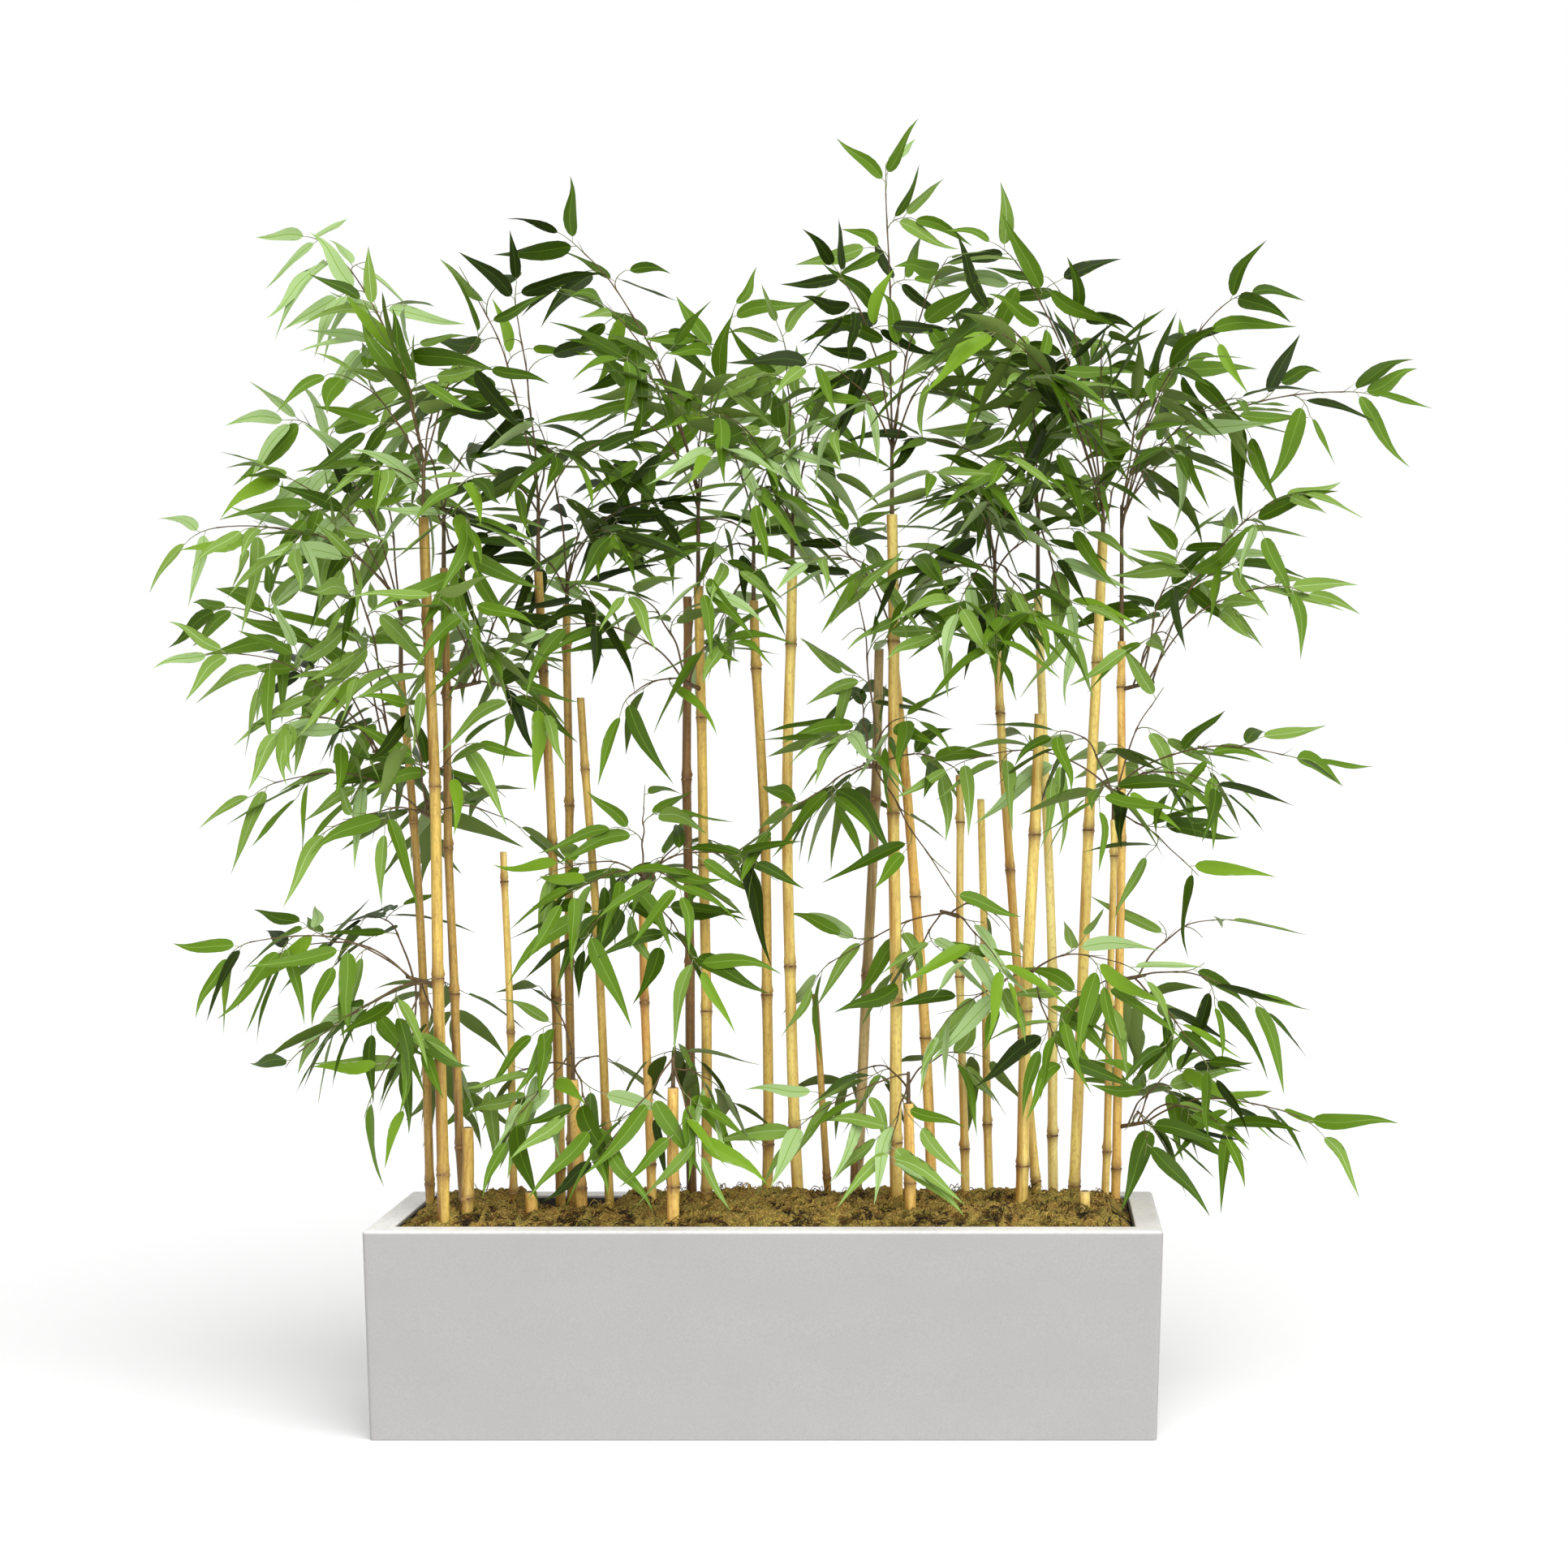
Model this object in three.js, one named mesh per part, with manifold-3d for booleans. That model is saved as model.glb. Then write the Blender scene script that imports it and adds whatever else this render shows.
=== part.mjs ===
// An artificial bamboo screen in a trough planter: cut bamboo canes set upright in a moss-topped
// bed, with wired sprays of leaves that spring from the canes' cut tops and from their sides.
// Millimetres, +Z up, +X along the trough to the right, +Y towards the back. The origin is the
// middle of the trough's flat underside.
import * as THREE from "three";
import { mergeVertices } from "three/addons/utils/BufferGeometryUtils.js";
import Module from "manifold-3d";

const wasm = await Module();
wasm.setup();

// The trough: a moulded box that narrows a little towards its foot, with a wide folded rim.
const TROUGH_LENGTH = 1000;
const TROUGH_DEPTH = 300;
const TROUGH_HEIGHT = 263;
const TROUGH_DRAFT = 8; // each side at the foot stands this far inside the rim's edge
const CORNER_RADIUS = 5;
const RIM_WIDTH = 34;
const RIM_THICKNESS = 12;
const RIM_ROUND = 5;
const WALL = 10;
const FLOOR = 12;
const FIT_GAP = 0.3; // between pieces that touch

// The bed: packing that fills the trough, with moss laid over it in low mounds.
const MOSS_DROP = 6; // the moss at the rim lies this far under the rim's top
const MOSS_GAP = 4; // between the moss and the rim's inner edge
const MOSS_MOUND = 10;
const MOSS_SHOULDER = 45; // over this distance from the rim the moss rises to its full height
const BED_CELLS_LONG = 12;
const BED_CELLS_DEEP = 4;

// The canes.
const FOOT_LEVEL = 215; // every cane is set down to this height
const CANE_SIDES = 6;
const CANE_TAPER = 0.84; // thickness at the cut top over thickness at the foot
const FIRST_JOINT = [55, 150];
const JOINT_SPACING = [185, 250];
const JOINT_SWELL = 1.13;
const JOINT_HEIGHT = 5;
const CANE_WANDER = 5; // how far a cane strays sideways from a straight line

// The wired sprays.
const STEM_RADIUS = 3.4;
const WIRE_RADIUS = 1.6;
const WIRE_TIP_RADIUS = 1.4;
const WIRE_BENDS = 3; // straight lengths in a spray's wire
const SIDE_STEM = 46; // from the middle of its cane
const SIDE_STEM_RISE = 10;
const FORK_SPACING = 7; // along the stem, from one spray to the next
const ARCH = 0.24; // how high a spray springs, of its level reach
const CLEAR_SAMPLES = 24;
const CANE_CLEARANCE = 6;
const SPRAY_CLEARANCE = 9;
const ASIDE = [0, 16, -16, 32, -32, 48, -48, 64, -64]; // tried in turn until a spray runs clear

// The leaves, each standing for the fan of small leaves at the end of a twig.
const LEAF_SPACING = 75;
const LEAF_LENGTH = [112, 136];
const END_LEAF_LENGTH = [104, 118];
const LEAF_WIDTH = 0.19; // of its length
const LEAF_THICKNESS = 2.4;
const LEAF_WIDEST = 0.36; // of its length, from the root
const LEAF_ROOT = 0.4; // how deep the root is sunk past the wire's middle
const LEAF_SPLAY = [36, 62]; // degrees from the wire
const END_SPLAY = [-12, 12];
const LEAF_DROOP = [0.2, 0.5];
const LEAF_DIP = 0.08; // of its length, at the tip
const FIRST_LEAF = 0.4; // of the way along a spray
const LAST_LEAF = 0.985;
const LEAF_MARGIN = 1.2; // kept clear all round a leaf

// One row a cane: where its foot and its cut top are, its thickness at the foot, and how far it
// bows to the right halfway up.
const CANES = [
  { foot: [-443, 0], top: [-487, 20, 955], thick: 12, bow: 8 },
  { foot: [-408, -95], top: [-441, -60, 1159], thick: 15.5, bow: 4 },
  { foot: [-387, -50], top: [-427, 0, 1097], thick: 12, bow: -6 },
  { foot: [-336, 10], top: [-355, 30, 727], thick: 10.5, bow: 2 },
  { foot: [-282, 45], top: [-311, 40, 1094], thick: 13.5, bow: 6 },
  { foot: [-274, 85], top: [-281, 90, 1053], thick: 12.5, bow: 0 },
  { foot: [-212, 20], top: [-257, 50, 929], thick: 12, bow: 4 },
  { foot: [-241, -20], top: [-255, -30, 437], thick: 16.5, bow: 0 },
  { foot: [-156, 0], top: [-169, 0, 665], thick: 12.5, bow: 0 },
  { foot: [-112, 75], top: [-120, 80, 1063], thick: 13.5, bow: -2 },
  { foot: [-88, 25], top: [-100, 30, 1075], thick: 14.5, bow: 3 },
  { foot: [-119, -95], top: [-118, -95, 435], thick: 16.5, bow: 0 },
  { foot: [-16, 85], top: [-32, 80, 1058], thick: 14.5, bow: 9 },
  { foot: [32, 55], top: [21, 60, 1100], thick: 15.5, bow: -11 },
  { foot: [71, 75], top: [50, 70, 537], thick: 10, bow: 0 },
  { foot: [99, 100], top: [134, 90, 994], thick: 14.5, bow: 4 },
  { foot: [161, 20], top: [154, 20, 1168], thick: 16.5, bow: 0 },
  { foot: [208, 60], top: [152, 56, 1004], thick: 14.5, bow: 8 },
  { foot: [181, -50], top: [178, -50, 409], thick: 15.5, bow: 0 },
  { foot: [250, 60], top: [241, 60, 827], thick: 11.5, bow: -2 },
  { foot: [282, 95], top: [269, 95, 794], thick: 11.5, bow: 0 },
  { foot: [349, 55], top: [288, 45, 1041], thick: 13, bow: -5 },
  { foot: [321, 8], top: [347, 0, 908], thick: 16.5, bow: -3 },
  { foot: [366, 92], top: [345, 85, 1064], thick: 13.5, bow: 6 },
  { foot: [392, 100], top: [431, 70, 1144], thick: 15.5, bow: -2 },
  { foot: [446, 72], top: [456, 80, 1004], thick: 12.5, bow: 3 },
  { foot: [430, 42], top: [444, 40, 769], thick: 10.5, bow: 2 },
  { foot: [404, -52], top: [404, -52, 297], thick: 15.5, bow: 0 },
];

// One row a mass of foliage. A stem with a rise stands on the cut top of its cane, and one with a
// height leaves the side of its cane there. From the stem's fork a spray runs out to each tip.
const MASSES = [
  { cane: 2, rise: 75, tips: [
    [-597, 60, 1527], [-497, -60, 1413], [-381, -40, 1382], [-523, -110, 1330], [-455, 130, 1350],
  ] },
  { cane: 1, rise: 100, tips: [
    [-725, 10, 1150], [-634, -80, 1145], [-613, 50, 1287], [-605, -30, 1203], [-540, 120, 1245],
  ] },
  { cane: 1, height: 849, tips: [
    [-686, -20, 985], [-597, -80, 902], [-581, 70, 1050], [-540, -90, 1130], [-560, 110, 930],
  ] },
  { cane: 2, height: 773, tips: [
    [-650, 20, 818], [-550, -80, 765], [-400, -90, 860], [-350, 30, 770], [-520, 100, 845],
  ] },
  { cane: 2, height: 563, tips: [
    [-613, -20, 607], [-540, 70, 640], [-602, -50, 475], [-490, -120, 437], [-520, -140, 530],
    [-440, 120, 520],
  ] },
  { cane: 3, rise: 80, tips: [
    [-402, 60, 1260], [-497, 110, 1287], [-381, -90, 1160], [-370, -120, 1055], [-476, -60, 1220],
  ] },
  { cane: 3, height: 939, tips: [
    [-350, -80, 1003], [-328, 70, 1080], [-310, -40, 929], [-507, -100, 960], [-412, 130, 1010],
  ] },
  { cane: 5, rise: 100, tips: [
    [-400, 50, 1466], [-330, -20, 1429], [-265, -100, 1245], [-370, -70, 1213], [-223, 100, 1276],
  ] },
  { cane: 6, rise: 40, tips: [
    [-180, 30, 1182], [-244, 120, 1203], [-201, -90, 1139], [-222, -60, 1045], [-340, 60, 1139],
  ] },
  { cane: 11, rise: 130, tips: [
    [-249, 30, 1540], [-191, -60, 1413], [-165, -110, 1350], [-86, -60, 1308], [-201, 110, 1308],
    [-65, 60, 1413],
  ] },
  { cane: 11, height: 940, tips: [
    [-244, -60, 1023], [-159, -110, 1055], [-60, -90, 1002], [-170, -120, 930],
  ] },
  { cane: 9, rise: 40, tips: [
    [-170, 20, 785], [-265, -40, 710], [-54, -50, 728], [-97, -110, 610], [-220, -100, 640],
    [-107, 120, 739],
  ] },
  { cane: 14, rise: 70, tips: [
    [15, 30, 1381], [75, -60, 1276], [-54, -80, 1287], [41, 120, 1329], [-10, -120, 1190],
  ] },
  { cane: 13, rise: 90, tips: [
    [-54, -110, 1245], [-118, 40, 1161], [9, -40, 1245], [-75, -100, 1090], [0, 130, 1161],
    [-100, 190, 1010],
  ] },
  { cane: 17, rise: 110, tips: [
    [146, 20, 1587], [100, -50, 1455], [215, -60, 1466], [70, -90, 1350], [241, -100, 1361],
    [178, 120, 1392],
  ] },
  { cane: 18, rise: 45, tips: [
    [80, -90, 1108], [200, -80, 1118], [210, -110, 1020], [146, 130, 1150], [62, 60, 1140],
  ] },
  { cane: 22, rise: 80, tips: [
    [220, -90, 1213], [325, -60, 1203], [262, 120, 1161], [200, -50, 1076], [370, 40, 1150],
  ] },
  { cane: 24, rise: 120, tips: [
    [262, 40, 1382], [336, -60, 1329], [310, -110, 1235], [399, 120, 1350], [210, 30, 1266],
  ] },
  { cane: 25, rise: 40, tips: [
    [315, 30, 1550], [294, -60, 1413], [380, 70, 1455], [425, -50, 1381], [375, -70, 1245],
    [470, 150, 1240],
  ] },
  { cane: 26, rise: 180, tips: [
    [578, 30, 1413], [745, 40, 1330], [494, -80, 1340], [590, -60, 1310], [505, -110, 1250],
    [526, 140, 1361],
  ] },
  { cane: 26, height: 940, tips: [
    [650, -10, 1182], [650, -60, 1071], [526, 70, 1108], [505, -100, 1010], [590, 120, 1100],
  ] },
  { cane: 27, rise: 40, tips: [
    [660, -20, 855], [557, -80, 823], [378, -90, 886], [494, 50, 918], [530, -60, 720],
    [560, 150, 840],
  ] },
  { cane: 27, height: 556, tips: [
    [610, 20, 544], [578, 80, 634], [550, -80, 475], [380, -90, 530], [480, 150, 510],
  ] },
  { cane: 26, height: 360, tips: [
    [680, -20, 388], [570, -80, 391], [515, 70, 430], [480, -120, 375], [530, 190, 400],
  ] },
  { cane: 17, height: 833, tips: [
    [9, -30, 770], [105, -80, 886], [230, -80, 690], [230, 110, 840], [60, 110, 800],
  ] },
  { cane: 12, rise: 40, tips: [
    [-190, -140, 375], [-86, -135, 390], [-75, -60, 440], [-130, 30, 470],
  ] },
  { cane: 8, rise: 40, tips: [
    [-315, -70, 400], [-290, 0, 538], [-222, -100, 400], [-360, 20, 430], [-220, 110, 440],
  ] },
  { cane: 19, rise: 40, tips: [
    [51, -60, 391], [160, -120, 375], [252, 20, 465], [100, 100, 430],
  ] },
  { cane: 20, height: 640, tips: [
    [175, -70, 575], [290, -90, 600], [70, 40, 580], [290, 150, 640],
  ] },
  { cane: 23, height: 569, tips: [
    [450, -70, 590], [240, -60, 530], [368, -100, 486],
  ] },
];

const LOOKS = {
  trough: { color: 0xc8c6c6, roughness: 0.6, metalness: 0 },
  bed: { color: 0x6f5f26, roughness: 1, metalness: 0 },
  cane: { color: 0xd8b878, roughness: 0.5, metalness: 0 },
  foliage: { color: 0x3c6b24, roughness: 0.55, metalness: 0 },
};

const UP = new THREE.Vector3(0, 0, 1);
const RIGHT = new THREE.Vector3(1, 0, 0);
const FRONT = new THREE.Vector3(0, -1, 0);

// A repeatable run of numbers: each call gives the next one between low and high.
function seeded(seed) {
  let state = (seed * 7919 + 12345) >>> 0;
  return ([low, high]) => {
    state = (Math.imul(state, 1664525) + 1013904223) >>> 0;
    return low + ((high - low) * state) / 2 ** 32;
  };
}

// Calls move on each corner of a geometry, to bend or taper it.
function reshape(geometry, move) {
  const corners = geometry.attributes.position;
  const corner = new THREE.Vector3();
  for (let i = 0; i < corners.count; i++) {
    corner.fromBufferAttribute(corners, i);
    move(corner);
    corners.setXYZ(i, corner.x, corner.y, corner.z);
  }
  return geometry;
}

function solidOf(geometry) {
  const flat = geometry.index ? geometry.toNonIndexed() : geometry;
  const bare = new THREE.BufferGeometry().setAttribute("position", flat.attributes.position);
  const merged = mergeVertices(bare, 1e-3);
  const corners = merged.index.array;
  const faces = [];
  for (let i = 0; i < corners.length; i += 3) {
    const [a, b, c] = corners.slice(i, i + 3);
    if (a !== b && b !== c && c !== a) faces.push(a, b, c);
  }
  const vertProperties = merged.attributes.position.array;
  return new wasm.Manifold(new wasm.Mesh({ numProp: 3, vertProperties, triVerts: new Uint32Array(faces) }));
}

function geometryOf(solid) {
  const mesh = solid.getMesh();
  return new THREE.BufferGeometry()
    .setAttribute("position", new THREE.BufferAttribute(mesh.vertProperties, 3))
    .setIndex(new THREE.BufferAttribute(mesh.triVerts, 1));
}

// A box with upright rounded corners, its middle on the Z axis, from bottom to top.
function roundedBox(length, depth, bottom, top, radius, round = 0) {
  const x = length / 2 - round;
  const y = depth / 2 - round;
  const outline = new THREE.Shape()
    .moveTo(-x + radius, -y)
    .lineTo(x - radius, -y)
    .absarc(x - radius, -y + radius, radius, -Math.PI / 2, 0)
    .lineTo(x, y - radius)
    .absarc(x - radius, y - radius, radius, 0, Math.PI / 2)
    .lineTo(-x + radius, y)
    .absarc(-x + radius, y - radius, radius, Math.PI / 2, Math.PI)
    .lineTo(-x, -y + radius)
    .absarc(-x + radius, -y + radius, radius, Math.PI, Math.PI * 1.5);
  return new THREE.ExtrudeGeometry(outline, {
    depth: top - bottom - 2 * round,
    curveSegments: 2,
    steps: 1,
    bevelEnabled: round > 0,
    bevelThickness: round,
    bevelSize: round,
    bevelSegments: 2,
  }).translate(0, 0, bottom + round);
}

// The trough narrows evenly from the rim down.
function drafted(geometry) {
  return reshape(geometry, (p) => {
    const inset = TROUGH_DRAFT * (1 - p.z / TROUGH_HEIGHT);
    p.x -= Math.sign(p.x) * inset;
    p.y -= Math.sign(p.y) * inset;
  });
}

function makeTrough() {
  const overrun = 40; // the rounded lower edge is cut off, which leaves a sharp foot
  const outside = solidOf(
    drafted(roundedBox(TROUGH_LENGTH, TROUGH_DEPTH, -overrun, TROUGH_HEIGHT, CORNER_RADIUS, RIM_ROUND)),
  );
  const below = solidOf(
    roundedBox(TROUGH_LENGTH + overrun, TROUGH_DEPTH + overrun, -2 * overrun, 0, CORNER_RADIUS),
  );
  const hollowTop = TROUGH_HEIGHT - RIM_THICKNESS;
  const hollow = solidOf(
    drafted(
      roundedBox(TROUGH_LENGTH - 2 * WALL, TROUGH_DEPTH - 2 * WALL, FLOOR, hollowTop, CORNER_RADIUS),
    ),
  );
  const mouth = solidOf(
    roundedBox(
      TROUGH_LENGTH - 2 * RIM_WIDTH,
      TROUGH_DEPTH - 2 * RIM_WIDTH,
      hollowTop - 1,
      TROUGH_HEIGHT + overrun,
      CORNER_RADIUS,
    ),
  );
  return outside.subtract(below).subtract(hollow).subtract(mouth);
}

const MOSS_HALF_LENGTH = TROUGH_LENGTH / 2 - RIM_WIDTH - MOSS_GAP;
const MOSS_HALF_DEPTH = TROUGH_DEPTH / 2 - RIM_WIDTH - MOSS_GAP;

// Height of the moss over a point of the trough.
function mossLevel(x, y) {
  const inland = Math.min(MOSS_HALF_LENGTH - Math.abs(x), MOSS_HALF_DEPTH - Math.abs(y));
  const shoulder = Math.sin((Math.PI / 2) * THREE.MathUtils.clamp(inland / MOSS_SHOULDER, 0, 1));
  const swell = 0.45 * Math.sin(x / 61 + 0.8) * Math.cos(y / 43) + 0.3 * Math.sin(x / 27 + y / 31);
  return TROUGH_HEIGHT - MOSS_DROP + MOSS_MOUND * shoulder * (1 + swell);
}

function makeBed(canes) {
  const neckBottom = TROUGH_HEIGHT - RIM_THICKNESS - 20;
  const neckTop = TROUGH_HEIGHT - MOSS_DROP;
  const neck = new THREE.BoxGeometry(
    2 * MOSS_HALF_LENGTH,
    2 * MOSS_HALF_DEPTH,
    neckTop - neckBottom,
    BED_CELLS_LONG,
    BED_CELLS_DEEP,
  ).translate(0, 0, (neckTop + neckBottom) / 2);
  reshape(neck, (p) => {
    if (p.z > neckTop - 1) p.z = mossLevel(p.x, p.y);
  });
  const room = WALL + FIT_GAP;
  const packing = drafted(
    roundedBox(
      TROUGH_LENGTH - 2 * room,
      TROUGH_DEPTH - 2 * room,
      FLOOR + FIT_GAP,
      TROUGH_HEIGHT - RIM_THICKNESS - FIT_GAP,
      CORNER_RADIUS,
    ),
  );
  const sockets = canes.map((cane) => solidOf(caneGeometry(cane, FIT_GAP)));
  return solidOf(packing).add(solidOf(neck)).subtract(wasm.Manifold.union(sockets));
}

// Where the middle of a cane is at a height.
function caneAxis(cane, height) {
  const [footX, footY] = cane.foot;
  const [topX, topY, topZ] = cane.top;
  const along = THREE.MathUtils.clamp((height - FOOT_LEVEL) / (topZ - FOOT_LEVEL), 0, 1);
  const bow = Math.sin(Math.PI * along);
  const wander = Math.sin(2 * Math.PI * along) * cane.wander;
  return new THREE.Vector3(
    footX + (topX - footX) * along + cane.bow * bow,
    footY + (topY - footY) * along + wander,
    height,
  );
}

function caneRadius(cane, height) {
  const along = (height - FOOT_LEVEL) / (cane.top[2] - FOOT_LEVEL);
  return (cane.thick / 2) * (1 - (1 - CANE_TAPER) * along);
}

// A cane is turned about its axis, with a swelling at each joint, and then leaned and bowed. With
// a clearance it is the socket that the cane's foot stands in.
function caneGeometry(cane, clearance = 0) {
  const bottom = FOOT_LEVEL - clearance;
  const top = cane.top[2];
  const profile = [new THREE.Vector2(0, bottom)];
  const addRing = (height, swell) =>
    profile.push(new THREE.Vector2(caneRadius(cane, height) * swell + clearance, height));
  addRing(bottom, 1);
  for (const joint of cane.joints) {
    addRing(joint, JOINT_SWELL);
    addRing(joint + JOINT_HEIGHT, 1);
  }
  addRing(top, 1);
  profile.push(new THREE.Vector2(0, top));
  const turned = new THREE.LatheGeometry(profile, CANE_SIDES).rotateX(Math.PI / 2);
  return reshape(turned, (p) => {
    const middle = caneAxis(cane, p.z);
    p.x += middle.x;
    p.y += middle.y;
  });
}

function grownCane(row, index) {
  const draw = seeded(index + 1);
  const cane = { ...row, wander: draw([-CANE_WANDER, CANE_WANDER]), joints: [] };
  let joint = FOOT_LEVEL + draw(FIRST_JOINT);
  while (joint < cane.top[2] - 30) {
    cane.joints.push(joint);
    joint += draw(JOINT_SPACING);
  }
  return cane;
}

// The wire of a spray springs up from its stem and arches over to its tip.
function sprayCurve(start, [x, y, z], aside) {
  const [right, back, rise] = [x - start.x, y - start.y, z - start.z];
  const knee = new THREE.Vector3(
    start.x + 0.35 * right,
    start.y + 0.35 * back + 0.7 * aside,
    start.z + 0.6 * rise + ARCH * Math.hypot(right, back),
  );
  return new THREE.QuadraticBezierCurve3(start, knee, new THREE.Vector3(x, y + aside, z));
}

function runsClear(curve, canes, others) {
  return curve.getPoints(CLEAR_SAMPLES).every((point, i) => {
    if (i < 2) return true;
    for (const cane of canes) {
      if (point.z > cane.top[2] + CANE_CLEARANCE) continue;
      const middle = caneAxis(cane, Math.min(point.z, cane.top[2]));
      const away = Math.hypot(point.x - middle.x, point.y - middle.y);
      if (away < caneRadius(cane, middle.z) + CANE_CLEARANCE) return false;
    }
    return !others.some((other) => other.distanceTo(point) < SPRAY_CLEARANCE);
  });
}

// The stem's two ends: on its cane's cut top, or in the middle of the cane, and its tip.
function stemEnds(mass, canes) {
  const cane = canes[mass.cane - 1];
  if (mass.rise) {
    const foot = caneAxis(cane, cane.top[2]);
    foot.z += FIT_GAP;
    return [foot, foot.clone().addScaledVector(UP, mass.rise)];
  }
  const middle = caneAxis(cane, mass.height);
  const lean = new THREE.Vector3();
  for (const [x, y] of mass.tips) lean.add(new THREE.Vector3(x - middle.x, y - middle.y, 0).normalize());
  lean.normalize();
  return [middle, middle.clone().addScaledVector(lean, SIDE_STEM).addScaledVector(UP, SIDE_STEM_RISE)];
}

// A three-sided wire that tapers through a row of points. All its rings keep one corner along
// the direction named across.
function wireSolid(points, startRadius, endRadius, across) {
  const lengths = points.length - 1;
  const straight = new THREE.CylinderGeometry(endRadius, startRadius, 1, 3, lengths);
  return solidOf(
    reshape(straight, (p) => {
      const ring = Math.round((p.y + 0.5) * lengths);
      const before = points[Math.max(ring - 1, 0)];
      const after = points[Math.min(ring + 1, lengths)];
      const along = after.clone().sub(before).normalize();
      const over = new THREE.Vector3().crossVectors(across, along);
      p.copy(points[ring].clone().addScaledVector(across, p.x).addScaledVector(over, p.z));
    }),
  );
}

// Upright to the plane that a spray's wire arches in.
function besideArch(curve) {
  const chord = curve.v2.clone().sub(curve.v0);
  return new THREE.Vector3().crossVectors(chord, UP).normalize();
}

// A six-faced blade: a root and a tip, and between them two edges and the ridge of a folded rib.
function leafSolid(leaf, margin = 0) {
  const width = leaf.length * LEAF_WIDTH + 2 * margin;
  const thickness = LEAF_THICKNESS + 2 * margin;
  const side = new THREE.Vector3().crossVectors(leaf.along, leaf.face).normalize();
  const reaches = [-LEAF_ROOT, leaf.length * LEAF_WIDEST, leaf.length + margin];
  const outline = [-1, 0, 1].map((end) => new THREE.Vector2(1 - Math.abs(end), end));
  const blade = reshape(new THREE.LatheGeometry(outline, 3), (p) => {
    const [across, end, over] = [p.x / Math.sin(Math.PI / 3), p.y, p.z];
    p.copy(leaf.root)
      .addScaledVector(leaf.along, reaches[Math.round(end) + 1])
      .addScaledVector(side, (across * width) / 2)
      .addScaledVector(leaf.face, (over * thickness) / 1.5);
    if (end > 0.5) p.addScaledVector(UP, -leaf.length * LEAF_DIP);
  });
  return solidOf(blade);
}

// The leaves of a spray stand on both sides of its wire in turn, with one at its end.
function sprayLeaves(wire, draw) {
  const reach = wire[0].distanceTo(wire[WIRE_BENDS]);
  const count = THREE.MathUtils.clamp(Math.round(reach / LEAF_SPACING) + 1, 3, 6);
  const leaves = [];
  for (let i = 0; i < count; i++) {
    const atEnd = i === count - 1;
    const along = (FIRST_LEAF + ((LAST_LEAF - FIRST_LEAF) * i) / (count - 1)) * WIRE_BENDS;
    const bend = Math.floor(along);
    const root = wire[bend].clone().lerp(wire[bend + 1], along - bend);
    const onward = wire[bend + 1].clone().sub(wire[bend]).normalize();
    const facing = FRONT.clone()
      .addScaledVector(RIGHT, draw([-0.9, 0.9]))
      .addScaledVector(UP, draw([0.1, 1]) + 1.5 * Math.abs(onward.y));
    facing.addScaledVector(onward, -facing.dot(onward)).normalize();
    const aside = new THREE.Vector3().crossVectors(onward, facing);
    const splay = THREE.MathUtils.degToRad(atEnd ? draw(END_SPLAY) : draw(LEAF_SPLAY));
    const pointing = onward
      .clone()
      .multiplyScalar(Math.cos(splay))
      .addScaledVector(aside, (i % 2 ? 1 : -1) * Math.sin(splay))
      .addScaledVector(UP, -draw(LEAF_DROOP))
      .normalize();
    const face = facing.clone().addScaledVector(aside, draw([-0.5, 0.5]));
    face.addScaledVector(pointing, -face.dot(pointing)).normalize();
    const length = draw(atEnd ? END_LEAF_LENGTH : LEAF_LENGTH);
    leaves.push({ root, along: pointing, face, length });
  }
  return leaves;
}

// A solid with its bounding box, so that far pieces are told apart quickly.
function boxed(solid) {
  const { min, max } = solid.boundingBox();
  return { solid, box: new THREE.Box3(new THREE.Vector3(...min), new THREE.Vector3(...max)) };
}

function touches(piece, others) {
  return others.some(
    (other) => other.box.intersectsBox(piece.box) && other.solid.intersect(piece.solid).volume() > 0,
  );
}

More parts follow.
